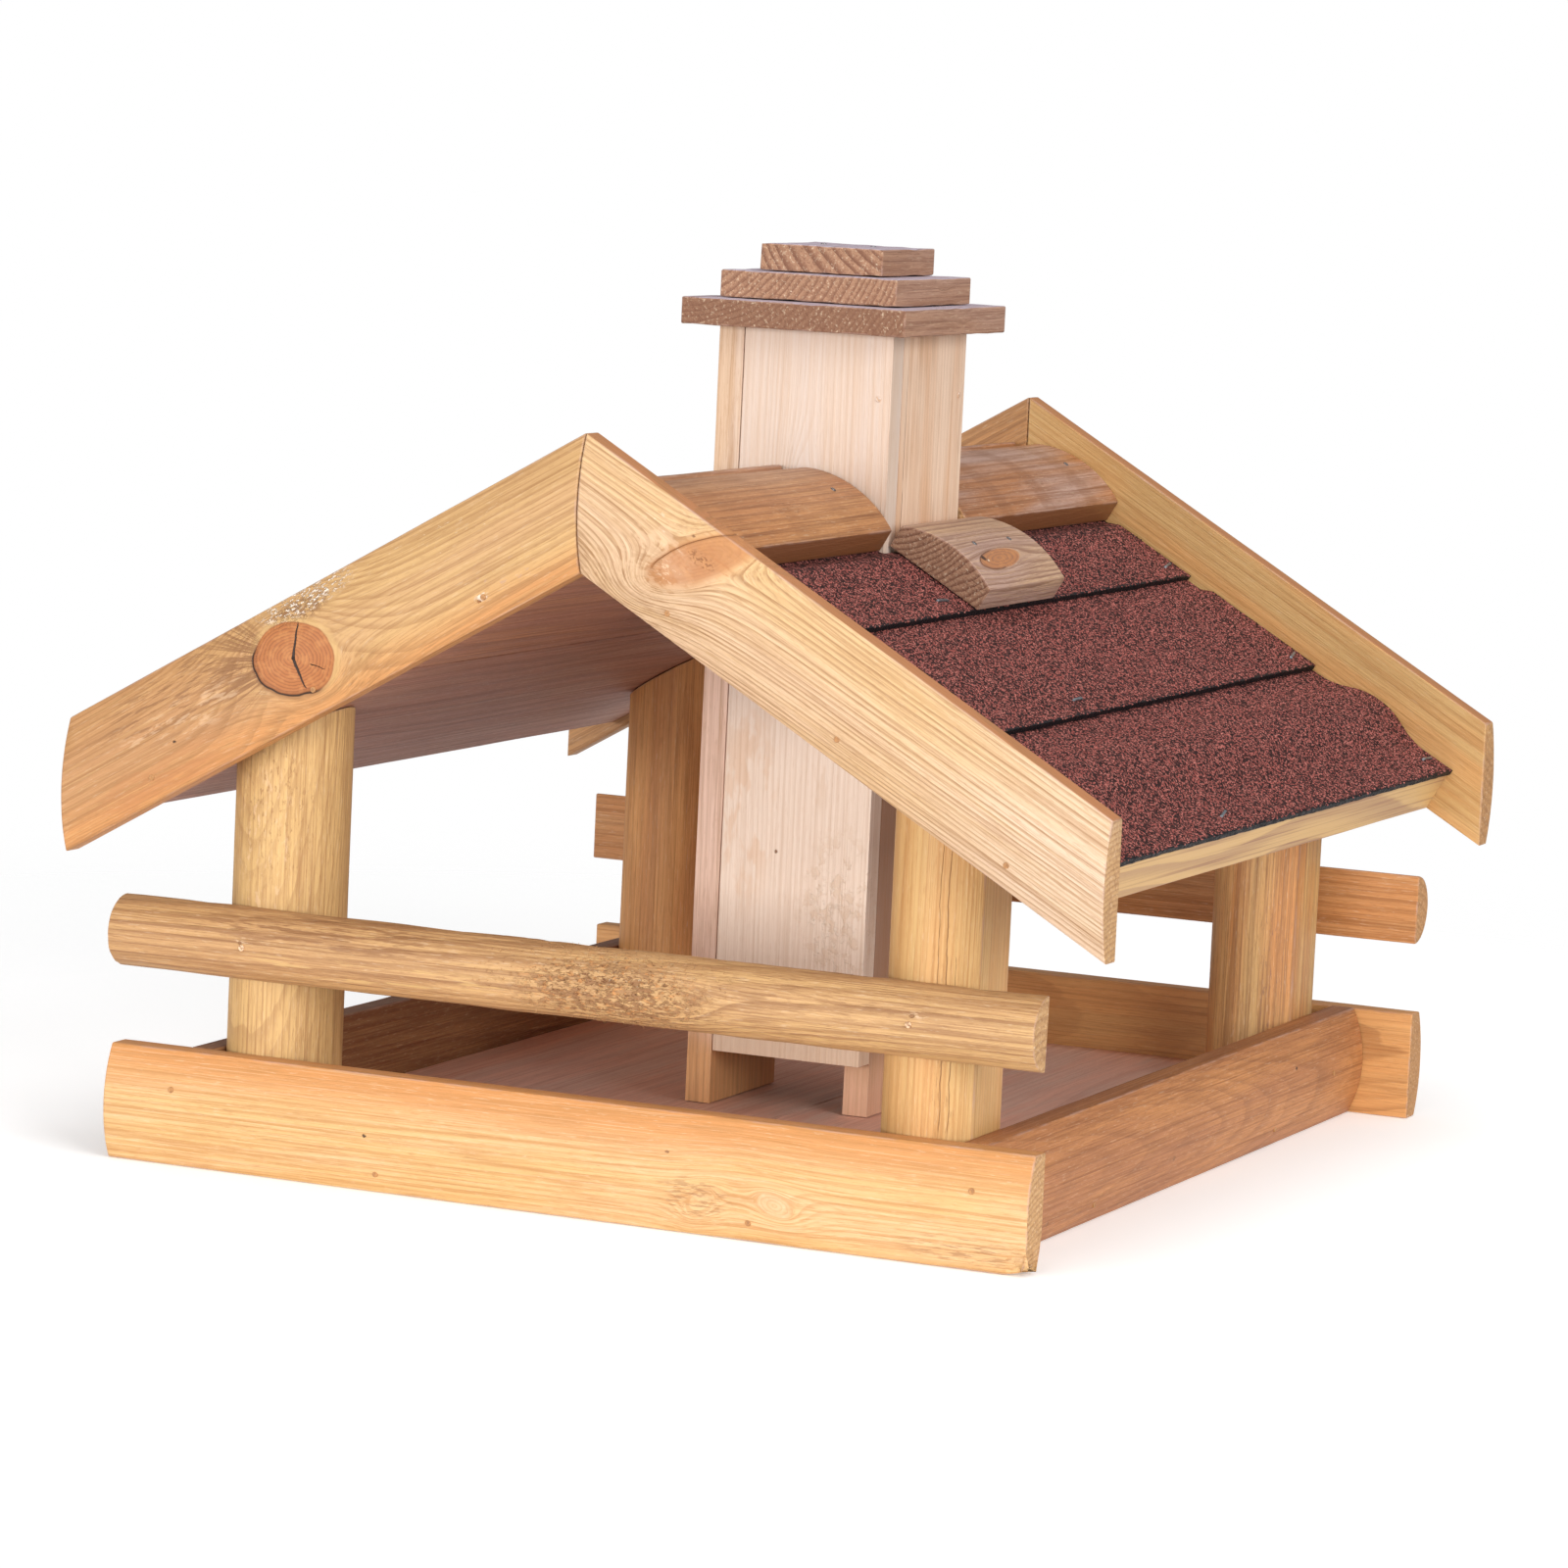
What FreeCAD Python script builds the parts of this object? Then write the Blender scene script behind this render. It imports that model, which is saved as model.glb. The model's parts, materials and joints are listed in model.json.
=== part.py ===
# Bird feeder house. An open tray carries four posts and a pitched roof. A seed silo stands on the
# tray floor and rises through the ridge like a chimney, under a stepped lid that lifts off.
# Millimetres, +X to the right, +Y to the back, +Z up. The origin is on the resting plane, at the
# middle of the tray.

import FreeCAD, Part
import math
import os
from FreeCAD import Placement, Rotation, Vector

# Cambered stock with a flat back, square edges and a rounded face: rims, barge boards, caps, blocks
STOCK_WIDTH = 45.0
STOCK_EDGE = 10.0
STOCK_CAMBER = 5.5

# Tray, measured inside the rims. The front rim sits a little off the middle.
TRAY_LENGTH = 310.0
TRAY_DEPTH = 409.0
RIM_OVERHANG = 20.5
RIM_SHIFT_FRONT = -3.5
FLOOR_THICKNESS = 15.0
FLOOR_JOINT_X = 10.5

# Posts: round, with one planed flat against the side rim, cut at the top to the roof slope. The
# front ones stand against the front rim, the back ones clear of the back rim.
POST_DIAMETER = 45.0
POST_AXIS_TO_FLAT = 18.0
POST_HEIGHT = 146.0
BACK_POST_GAP = 16.0

# Half-round rails nailed on the front and the back posts, each a little off the middle
RAIL_HEIGHT = 29.0
RAIL_LIFT_FRONT = 73.0
RAIL_LIFT_BACK = 76.5
RAIL_SHIFT_FRONT = -5.0
RAIL_SHIFT_BACK = 4.5

# Roof. The boards of the left slope are thinner, level with the right ones on top.
ROOF_PITCH = 30.0
ROOF_BOARD = 18.0
ROOF_BOARD_LEFT = 14.0
ROOF_OVERHANG = 8.0
EAVE_OVERHANG = 34.0
BARGE_OVERHANG = 24.0
ROOF_JOINT_FROM_RIDGE = 96.0

# Shingle courses. Each lower edge lies on the course below it.
SHINGLE = 2.5
SHINGLE_MIDDLE_EXPOSED = 67.0
SHINGLE_LAP = 55.0
SHINGLE_RAMP = 5.5
SHINGLE_GAP = 0.5
SHINGLE_END_GAP = 0.5
SHINGLE_OVERHANG = 1.0
SHINGLE_BOW = 6.5
BOW_START = 2.0
BOW_END = 14.0

# Seed silo, four boards set pinwheel fashion
SILO_SIZE = 75.0
SILO_WALL = 11.0
SILO_X = 2.5
SILO_Y = 4.0
SILO_RISE = 85.5
SEED_SLOT = 21.5
ROOF_NOTCH_CLEARANCE = 1.0
BLOCK_LENGTH = 80.0
BLOCK_SHIFT = 6.0
BLOCK_GAP = 0.3

# Lid: three stepped plates and the block that locates them in the silo mouth
LID_PLATE = 11.0
LID_LOWER_X = 96.0
LID_LOWER_Y = 104.0
LID_MIDDLE = 76.0
LID_UPPER = 53.0
LID_PLUG_CLEARANCE = 0.6

# Brads and staples
BRAD_DIAMETER = 1.6
BRAD_HEAD_DIAMETER = 2.4
BRAD_HEAD = 1.2
BRAD_LENGTH = 30.0
BRAD_POINT = 2.5
BRAD_SIDES = 8
BRAD_PROUD = 0.2
BRAD_FROM_END = 22.0
RIM_BRAD_HEIGHT = 30.0
FLOOR_BRAD_X = 77.0
FLOOR_BRAD_Y = 102.0
BARGE_BRAD_FROM_RIDGE = 38.0
SILO_BRAD_FROM_END = 25.0
LID_BRAD_LENGTH = 40.0
LID_BRAD_SPACING = 21.5
STAPLE_CROWN = 10.0
STAPLE_LEG = 9.0
STAPLE_WIDTH = 1.2
STAPLE_WIRE = 0.7
STAPLE_FROM_EDGE = 9.0
STAPLE_FROM_END = 11.0
STAPLE_FROM_SILO = 14.0

# Worked out from the sizes above
STOCK_CROWN = STOCK_EDGE + STOCK_CAMBER
RIM_LENGTH = TRAY_LENGTH + 2 * (STOCK_CROWN + RIM_OVERHANG)
HALF_TRAY_X = TRAY_LENGTH / 2
HALF_TRAY_Y = TRAY_DEPTH / 2
POST_X = HALF_TRAY_X - POST_AXIS_TO_FLAT

# By end, -1 at the front and 1 at the back
RAIL_Y = {-1: -HALF_TRAY_Y, 1: HALF_TRAY_Y - BACK_POST_GAP}
RAIL_LIFT = {-1: RAIL_LIFT_FRONT, 1: RAIL_LIFT_BACK}
POST_Y = {end: y - end * POST_DIAMETER / 2 for end, y in RAIL_Y.items()}

PITCH = math.radians(ROOF_PITCH)
ROOF_HALF_Y = HALF_TRAY_Y + ROOF_OVERHANG
RIDGE_Z = FLOOR_THICKNESS + POST_HEIGHT + POST_X * math.tan(PITCH)
EAVE_X = HALF_TRAY_X + EAVE_OVERHANG
ROOF_SLOPE = EAVE_X / math.cos(PITCH)
BARGE_END_X = EAVE_X + BARGE_OVERHANG

SILO_FRONT = SILO_Y - SILO_SIZE / 2
SILO_BACK = SILO_Y + SILO_SIZE / 2
SILO_LEFT = SILO_X - SILO_SIZE / 2
SILO_RIGHT = SILO_X + SILO_SIZE / 2
SILO_TOP = RIDGE_Z + SILO_RISE

X = Vector(1, 0, 0)
Y = Vector(0, 1, 0)
Z = Vector(0, 0, 1)


# Slopes. A piece of the roof is modelled on the right-hand slope in slope coordinates: s down the
# slope from the ridge, y along the ridge, p square to the slope from the underside of the thick boards.

# Where the boards' underside lies, -1 on the left slope and 1 on the right
UNDERSIDE_P = {-1: ROOF_BOARD - ROOF_BOARD_LEFT, 1: 0.0}

SLOPE = Placement(Vector(0, 0, RIDGE_Z), Rotation(Y, ROOF_PITCH))


def on_slope(shape, side):
    """Put a shape made in slope coordinates on the right (1) or left (-1) slope."""
    placed = shape.transformed(SLOPE.toMatrix(), True)
    if side < 0:
        placed = placed.mirror(Vector(0, 0, 0), X)
    return placed


def slope_at(x, p):
    """Distance s down the slope of the point that is x from the ridge line and p above the underside."""
    return (x - p * math.sin(PITCH)) / math.cos(PITCH)


def box(low, high):
    size = high - low
    return Part.makeBox(size.x, size.y, size.z, low)


def beyond_ridge():
    """The half of space on the right of the ridge's plumb plane."""
    reach = 2 * (BARGE_END_X + RIDGE_Z + ROOF_HALF_Y)
    return box(Vector(0, -reach, -reach), Vector(reach, reach, reach))


def silo_well():
    """The upright space that the silo takes through the roof, with its clearance."""
    c = ROOF_NOTCH_CLEARANCE
    low = Vector(SILO_LEFT - c, SILO_FRONT - c, 0)
    high = Vector(SILO_RIGHT + c, SILO_BACK + c, SILO_TOP)
    return box(low, high)


# Stock and fasteners

def stock(length, origin, along, across):
    """A length of the cambered stock. Its back lies on the plane of along and across, and its
    rounded face looks towards along x across."""
    arc_ends = (Vector(0, STOCK_WIDTH, STOCK_EDGE), Vector(0, 0, STOCK_EDGE))
    crown = Vector(0, STOCK_WIDTH / 2, STOCK_CROWN)
    edges = [
        Part.makeLine(Vector(0, 0, 0), Vector(0, STOCK_WIDTH, 0)),
        Part.makeLine(Vector(0, STOCK_WIDTH, 0), arc_ends[0]),
        Part.Arc(arc_ends[0], crown, arc_ends[1]).toShape(),
        Part.makeLine(arc_ends[1], Vector(0, 0, 0)),
    ]
    solid = Part.Face(Part.Wire(edges)).extrude(X * length)
    face = along.cross(across)
    turn = FreeCAD.Matrix(
        along.x, across.x, face.x, origin.x,
        along.y, across.y, face.y, origin.y,
        along.z, across.z, face.z, origin.z,
        0, 0, 0, 1,
    )
    return solid.transformed(turn, True)


def stock_height(across):
    """Height of the stock's rounded face above its back, at a distance across it."""
    half = STOCK_WIDTH / 2
    radius = (half ** 2 + STOCK_CAMBER ** 2) / (2 * STOCK_CAMBER)
    return STOCK_CROWN - radius + math.sqrt(radius ** 2 - (across - half) ** 2)


def polygon(radius, z):
    """An upright regular polygon round the Z axis."""
    turns = [2 * math.pi * i / BRAD_SIDES for i in range(BRAD_SIDES + 1)]
    return Part.makePolygon([Vector(radius * math.cos(t), radius * math.sin(t), z) for t in turns])


def brad(point, direction, length=BRAD_LENGTH):
    """A brad driven from a point on the surface along a direction, its head a touch proud. Its round
    wire is drawn with flat sides, because there are many of them and they are small."""
    head_low, point_top = BRAD_PROUD - BRAD_HEAD, BRAD_POINT - length
    head = Part.Face(polygon(BRAD_HEAD_DIAMETER / 2, head_low)).extrude(Z * BRAD_HEAD)
    shank_ring = polygon(BRAD_DIAMETER / 2, point_top)
    shank = Part.Face(shank_ring).extrude(Z * (head_low - point_top))
    tip = Part.makeLoft([shank_ring, Part.Vertex(0, 0, -length)], True, True)
    solid = head.fuse([shank, tip]).removeSplitter()
    placement = Placement(point, Rotation(Z * -1, direction))
    return solid.transformed(placement.toMatrix(), True)


def staple(point):
    """A staple in slope coordinates: its crown lies along y on the shingle, its legs go down."""
    half_crown, half_width = STAPLE_CROWN / 2, STAPLE_WIDTH / 2
    crown = box(Vector(-half_width, -half_crown, 0), Vector(half_width, half_crown, STAPLE_WIRE))
    leg = box(Vector(-half_width, -half_crown, -STAPLE_LEG), Vector(half_width, STAPLE_WIRE - half_crown, 0))
    far_leg = leg.mirror(Vector(0, 0, 0), Y)
    solid = crown.fuse([leg, far_leg]).removeSplitter()
    solid.translate(point)
    return solid


# Tray

def make_rims():
    half = RIM_LENGTH / 2
    return {
        "front_rim": stock(RIM_LENGTH, Vector(RIM_SHIFT_FRONT - half, -HALF_TRAY_Y, 0), X, Z),
        "back_rim": stock(RIM_LENGTH, Vector(half, HALF_TRAY_Y, 0), X * -1, Z),
        "left_rim": stock(TRAY_DEPTH, Vector(-HALF_TRAY_X, HALF_TRAY_Y, 0), Y * -1, Z),
        "right_rim": stock(TRAY_DEPTH, Vector(HALF_TRAY_X, -HALF_TRAY_Y, 0), Y, Z),
    }


def make_floor():
    bounds = {
        "floor_board_left": (-HALF_TRAY_X, FLOOR_JOINT_X),
        "floor_board_right": (FLOOR_JOINT_X, HALF_TRAY_X),
    }
    return {
        name: box(Vector(low, -HALF_TRAY_Y, 0), Vector(high, HALF_TRAY_Y, FLOOR_THICKNESS))
        for name, (low, high) in bounds.items()
    }


# Posts and rails

CORNERS = {
    "front_left": (-1, -1),
    "front_right": (1, -1),
    "back_left": (-1, 1),
    "back_right": (1, 1),
}


def make_posts():
    """Round posts on the floor, planed on the side of the rim and cut to the roof's underside."""
    reach = RIDGE_Z + BARGE_END_X
    posts = {}
    for corner, (side, end) in CORNERS.items():
        under_roof = box(Vector(-reach, -reach, -reach), Vector(reach, reach, UNDERSIDE_P[side]))
        foot = Vector(side * POST_X, POST_Y[end], FLOOR_THICKNESS)
        log = Part.makeCylinder(POST_DIAMETER / 2, reach, foot)
        inside_rims = box(Vector(-HALF_TRAY_X, -reach, 0), Vector(HALF_TRAY_X, reach, reach * 2))
        posts["post_" + corner] = log.common(inside_rims).common(on_slope(under_roof, side))
    return posts


def make_rails():
    """Half-round rails with their flat backs on the posts."""
    radius = RAIL_HEIGHT / 2
    low, high = Vector(0, 0, 0), Vector(0, 0, RAIL_HEIGHT)
    crest = Vector(0, -radius, radius)
    section = Part.Wire([Part.makeLine(high, low), Part.Arc(low, crest, high).toShape()])
    rail = Part.Face(section).extrude(X * RIM_LENGTH)
    front = rail.copy()
    front.translate(Vector(RAIL_SHIFT_FRONT - RIM_LENGTH / 2, RAIL_Y[-1], RAIL_LIFT[-1]))
    back = rail.mirror(Vector(0, 0, 0), Y)
    back.translate(Vector(RAIL_SHIFT_BACK - RIM_LENGTH / 2, RAIL_Y[1], RAIL_LIFT[1]))
    return {"front_rail": front, "back_rail": back}


# Roof boards and shingles

SIDES = {"left": -1, "right": 1}

CAP_P = ROOF_BOARD + SHINGLE
CAP_TOP_S = slope_at(0, CAP_P)
CAP_LOW_S = CAP_TOP_S + STOCK_WIDTH
BLOCK_P = CAP_P + SHINGLE
BLOCK_TOP_S = max(CAP_LOW_S, slope_at(max(SILO_RIGHT, -SILO_LEFT), BLOCK_P)) + BLOCK_GAP
RIDGE_COURSE_LOW_S = BLOCK_TOP_S + STOCK_WIDTH
MIDDLE_COURSE_TOP_S = CAP_LOW_S + SHINGLE_RAMP + 2 * SHINGLE_GAP
MIDDLE_COURSE_LOW_S = RIDGE_COURSE_LOW_S + SHINGLE_MIDDLE_EXPOSED
EAVE_COURSE_TOP_S = MIDDLE_COURSE_LOW_S - SHINGLE_LAP
EAVE_COURSE_LOW_S = ROOF_SLOPE + SHINGLE_OVERHANG


def make_roof_boards():
    """Two boards a slope, mitred at the ridge; the silo's well is cut out of the upper ones."""
    boards = {}
    ridge_s = slope_at(0, ROOF_BOARD)
    spans = {
        "upper": (ridge_s, ROOF_JOINT_FROM_RIDGE),
        "lower": (ROOF_JOINT_FROM_RIDGE, ROOF_SLOPE),
    }
    for side_name, side in SIDES.items():
        for place, (top, low) in spans.items():
            underside = Vector(top, -ROOF_HALF_Y, UNDERSIDE_P[side])
            plank = box(underside, Vector(low, ROOF_HALF_Y, ROOF_BOARD))
            board = plank.transformed(SLOPE.toMatrix(), True).common(beyond_ridge())
            if side < 0:
                board = board.mirror(Vector(0, 0, 0), X)
            boards["roof_board_" + side_name + "_" + place] = board.cut(silo_well())
    return boards


def shingle_sheet(path_edges, top, low):
    """A sheet of shingle swept along y. path_edges run down its underside from top to low."""
    lift = Vector(0, 0, SHINGLE)
    upper = [edge.translated(lift) for edge in path_edges]
    ends = [Part.makeLine(low, low + lift), Part.makeLine(top + lift, top)]
    section = Part.Wire(Part.__sortEdges__(path_edges + upper + ends))
    half = ROOF_HALF_Y - SHINGLE_END_GAP
    sheet = Part.Face(section).extrude(Y * (2 * half))
    return sheet.translated(Vector(0, -half, 0))


def lapped_course(top_s, step_s, low_s):
    """A course that lies on the boards, climbs on to the course below and ends there."""
    flat, raised = ROOF_BOARD, ROOF_BOARD + SHINGLE
    corners = [
        Vector(top_s, 0, flat),
        Vector(step_s - SHINGLE_RAMP - SHINGLE_GAP, 0, flat),
        Vector(step_s - SHINGLE_GAP, 0, raised),
        Vector(low_s, 0, raised),
    ]
    path = [Part.makeLine(a, b) for a, b in zip(corners, corners[1:])]
    return shingle_sheet(path, corners[0], corners[-1])


def bowed_course(top_s, bow_from, bow_to, low_s):
    """The eave course. It is stapled along its edges and bows off the boards between them, in three
    arcs of one radius that run into each other."""
    quarter = (bow_to - bow_from) / 4
    turn = 2 * math.atan(SHINGLE_BOW / 2 / quarter)
    radius = quarter / math.sin(turn)
    reach, rise = radius * math.sin(turn / 2), radius * (1 - math.cos(turn / 2))

    def at(s, height):
        return Vector(s, 0, ROOF_BOARD + height)

    top, low = at(top_s, 0), at(low_s, 0)
    start, end = at(bow_from, 0), at(bow_to, 0)
    climb, crest, fall = [at(bow_from + n * quarter, h * SHINGLE_BOW) for n, h in ((1, 0.5), (2, 1), (3, 0.5))]
    path = [
        Part.makeLine(top, start),
        Part.Arc(start, at(bow_from + reach, rise), climb).toShape(),
        Part.Arc(climb, crest, fall).toShape(),
        Part.Arc(fall, at(bow_to - reach, rise), end).toShape(),
        Part.makeLine(end, low),
    ]
    return shingle_sheet(path, top, low)


def make_shingles():
    ridge_s = slope_at(0, CAP_P)
    ridge = lapped_course(ridge_s, MIDDLE_COURSE_TOP_S, RIDGE_COURSE_LOW_S)
    middle = lapped_course(MIDDLE_COURSE_TOP_S, EAVE_COURSE_TOP_S, MIDDLE_COURSE_LOW_S)
    bow_from = MIDDLE_COURSE_LOW_S + BOW_START
    eave = bowed_course(EAVE_COURSE_TOP_S, bow_from, ROOF_SLOPE - BOW_END, EAVE_COURSE_LOW_S)
    courses = {"ridge": ridge, "middle": middle, "eave": eave}
    shingles = {}
    for side_name, side in SIDES.items():
        for course_name, course in courses.items():
            sheet = course.transformed(SLOPE.toMatrix(), True).common(beyond_ridge())
            if side < 0:
                sheet = sheet.mirror(Vector(0, 0, 0), X)
            shingles["shingle_" + side_name + "_" + course_name] = sheet.cut(silo_well())
    return shingles


def staple_points():
    """Where the staples sit on each course, in slope coordinates on the shingle's upper face."""
    raised, flat = BLOCK_P, CAP_P
    end_y = ROOF_HALF_Y - STAPLE_FROM_END
    middle_y = SILO_FRONT - STAPLE_FROM_SILO
    rows = [
        (RIDGE_COURSE_LOW_S - STAPLE_FROM_EDGE, raised),
        (MIDDLE_COURSE_LOW_S - STAPLE_FROM_EDGE, raised),
        (ROOF_SLOPE - STAPLE_FROM_EDGE, flat),
    ]
    return [Vector(s, y, p) for s, p in rows for y in (-end_y, middle_y, end_y)]


def make_staples():
    staples = [on_slope(staple(point), side) for side in SIDES.values() for point in staple_points()]
    return {"shingle_staples": Part.makeCompound(staples)}


# Barge boards, ridge caps and blocks

def make_barge_boards():
    """Cambered boards on the ends of the roof boards, mitred at the ridge and cut plumb below."""
    reach = 2 * ROOF_SLOPE
    between = box(Vector(0, -reach, -reach), Vector(BARGE_END_X, reach, reach * 2))
    front = stock(reach * 1.5, Vector(-reach / 4, -ROOF_HALF_Y, 0), X, Z)
    front = front.transformed(SLOPE.toMatrix(), True).common(between)
    back = front.mirror(Vector(0, 0, 0), Y)
    boards = {}
    for end_name, board in (("front", front), ("back", back)):
        boards["barge_" + end_name + "_right"] = board
        boards["barge_" + end_name + "_left"] = board.mirror(Vector(0, 0, 0), X)
    return boards


def make_ridge_caps():
    """Lengths of stock along the ridge, from each barge board to the silo."""
    well_front = SILO_FRONT - ROOF_NOTCH_CLEARANCE
    well_back = SILO_BACK + ROOF_NOTCH_CLEARANCE
    spans = {"front": (-ROOF_HALF_Y, well_front), "back": (well_back, ROOF_HALF_Y)}
    caps = {}
    for end_name, (y_low, y_high) in spans.items():
        cap = stock(y_high - y_low, Vector(CAP_TOP_S, y_high, CAP_P), Y * -1, X)
        for side_name, side in SIDES.items():
            caps["ridge_cap_" + end_name + "_" + side_name] = on_slope(cap, side)
    return caps


def block_span():
    middle = SILO_Y + BLOCK_SHIFT
    return middle - BLOCK_LENGTH / 2, middle + BLOCK_LENGTH / 2


def make_blocks():
    """Short lengths of stock on the ridge course, one beside each side of the silo."""
    y_high = block_span()[1]
    block = stock(BLOCK_LENGTH, Vector(BLOCK_TOP_S, y_high, BLOCK_P), Y * -1, X)
    return {"silo_block_" + side_name: on_slope(block, side) for side_name, side in SIDES.items()}


# Seed silo and lid

def make_silo():
    """Four boards in a pinwheel. The side boards stand on the floor, the others leave seed slots."""
    w = SILO_WALL
    floor, slot = FLOOR_THICKNESS, FLOOR_THICKNESS + SEED_SLOT
    left, right, front, back = SILO_LEFT, SILO_RIGHT, SILO_FRONT, SILO_BACK
    return {
        "silo_left": box(Vector(left, front, floor), Vector(left + w, back - w, SILO_TOP)),
        "silo_right": box(Vector(right - w, front + w, floor), Vector(right, back, SILO_TOP)),
        "silo_front": box(Vector(left + w, front, slot), Vector(right, front + w, SILO_TOP)),
        "silo_back": box(Vector(left, back - w, slot), Vector(right - w, back, SILO_TOP)),
    }


def centred_plate(size_x, size_y, low_z, thickness):
    corner = Vector(SILO_X - size_x / 2, SILO_Y - size_y / 2, low_z)
    return Part.makeBox(size_x, size_y, thickness, corner)


def make_lid():
    plug_size = SILO_SIZE - 2 * (SILO_WALL + LID_PLUG_CLEARANCE)
    return {
        "lid_lower": centred_plate(LID_LOWER_X, LID_LOWER_Y, SILO_TOP, LID_PLATE),
        "lid_middle": centred_plate(LID_MIDDLE, LID_MIDDLE, SILO_TOP + LID_PLATE, LID_PLATE),
        "lid_upper": centred_plate(LID_UPPER, LID_UPPER, SILO_TOP + 2 * LID_PLATE, LID_PLATE),
        "lid_plug": centred_plate(plug_size, plug_size, SILO_TOP - LID_PLATE, LID_PLATE),
    }


# Brads, grouped by what they hold

def make_tray_brads():
    """Through the front and back rims into the side rims and the floor, and through the side rims
    into the posts and the floor."""
    crown_z, floor_z = STOCK_WIDTH / 2, FLOOR_THICKNESS / 2
    crown, low_face = stock_height(crown_z), stock_height(floor_z)
    side_rim_x = HALF_TRAY_X + STOCK_EDGE
    brads = []
    for end in (-1, 1):
        for side in (-1, 1):
            inward_y, inward_x = Y * -end, X * -side
            face_y = end * (HALF_TRAY_Y + stock_height(RIM_BRAD_HEIGHT))
            face_x = side * (HALF_TRAY_X + crown)
            brads.append(brad(Vector(side * side_rim_x, face_y, RIM_BRAD_HEIGHT), inward_y))
            floor_face_y = end * (HALF_TRAY_Y + low_face)
            brads.append(brad(Vector(side * FLOOR_BRAD_X, floor_face_y, floor_z), inward_y))
            brads.append(brad(Vector(face_x, POST_Y[end], crown_z), inward_x))
            floor_face_x = side * (HALF_TRAY_X + low_face)
            brads.append(brad(Vector(floor_face_x, end * FLOOR_BRAD_Y, floor_z), inward_x))
    return {"tray_brads": Part.makeCompound(brads)}


def make_rail_brads():
    brads = []
    for end in (-1, 1):
        for side in (-1, 1):
            face_y = RAIL_Y[end] + end * RAIL_HEIGHT / 2
            point = Vector(side * POST_X, face_y, RAIL_LIFT[end] + RAIL_HEIGHT / 2)
            brads.append(brad(point, Y * -end))
    return {"rail_brads": Part.makeCompound(brads)}


def make_barge_brads():
    """Through the barge boards into the end grain of the roof boards."""
    board_p = ROOF_BOARD / 2
    face_y = ROOF_HALF_Y + stock_height(board_p)
    joint_s, eave_s = ROOF_JOINT_FROM_RIDGE + BRAD_FROM_END, ROOF_SLOPE - BRAD_FROM_END
    from_ridge = (BARGE_BRAD_FROM_RIDGE, joint_s, eave_s)
    brads = []
    for side in SIDES.values():
        for end in (-1, 1):
            for s in from_ridge:
                brads.append(on_slope(brad(Vector(s, end * face_y, board_p), Y * -end), side))
    return {"barge_brads": Part.makeCompound(brads)}


def make_cap_brads():
    """Through the ridge caps and the blocks into the upper roof boards."""
    half = STOCK_WIDTH / 2
    well = ROOF_NOTCH_CLEARANCE + BRAD_FROM_END
    gable = ROOF_HALF_Y - BRAD_FROM_END
    caps_y = (-gable, SILO_FRONT - well, SILO_BACK + well, gable)
    block_low, block_high = block_span()
    blocks_y = (block_low + BRAD_FROM_END, block_high - BRAD_FROM_END)
    down = Z * -1
    brads = []
    for side in SIDES.values():
        for y in caps_y:
            point = Vector(CAP_TOP_S + half, y, CAP_P + STOCK_CROWN)
            brads.append(on_slope(brad(point, down), side))
        for y in blocks_y:
            point = Vector(BLOCK_TOP_S + half, y, BLOCK_P + STOCK_CROWN)
            brads.append(on_slope(brad(point, down), side))
    return {"cap_brads": Part.makeCompound(brads)}


def make_silo_brads():
    """Through the face of each silo board into the edge of the next one round the pinwheel."""
    inset = SILO_WALL / 2
    heights = (
        FLOOR_THICKNESS + SEED_SLOT + SILO_BRAD_FROM_END,
        (FLOOR_THICKNESS + SILO_TOP) / 2,
        SILO_TOP - SILO_BRAD_FROM_END,
    )
    brads = []
    for z in heights:
        brads.append(brad(Vector(SILO_LEFT, SILO_FRONT + inset, z), X))
        brads.append(brad(Vector(SILO_RIGHT - inset, SILO_FRONT, z), Y))
        brads.append(brad(Vector(SILO_RIGHT, SILO_BACK - inset, z), X * -1))
        brads.append(brad(Vector(SILO_LEFT + inset, SILO_BACK, z), Y * -1))
    return {"silo_brads": Part.makeCompound(brads)}


def make_lid_brads():
    """Down through the three plates into the locating block."""
    top = SILO_TOP + 3 * LID_PLATE
    spread = LID_BRAD_SPACING / 2
    brads = [brad(Vector(SILO_X + dx, SILO_Y, top), Z * -1, LID_BRAD_LENGTH) for dx in (-spread, spread)]
    return {"lid_brads": Part.makeCompound(brads)}


MAKERS = (
    make_rims, make_floor, make_posts, make_rails, make_roof_boards, make_shingles, make_staples,
    make_barge_boards, make_ridge_caps, make_blocks, make_silo, make_lid, make_tray_brads,
    make_rail_brads, make_barge_brads, make_cap_brads, make_silo_brads, make_lid_brads,
)


def main():
    os.makedirs("parts", exist_ok=True)
    for maker in MAKERS:
        for node, shape in maker().items():
            shape.exportStep(os.path.join("parts", node + ".step"))


main()
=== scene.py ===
"""Timber, shingles and fasteners of an open-sided bird feeder house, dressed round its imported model."""

import json
import math
from dataclasses import dataclass
from itertools import combinations

import bmesh
import bpy
from bpy.props import FloatProperty, FloatVectorProperty, IntProperty, PointerProperty
from bpy.types import Operator, Panel, PropertyGroup
from mathutils import Matrix, Vector, noise

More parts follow.
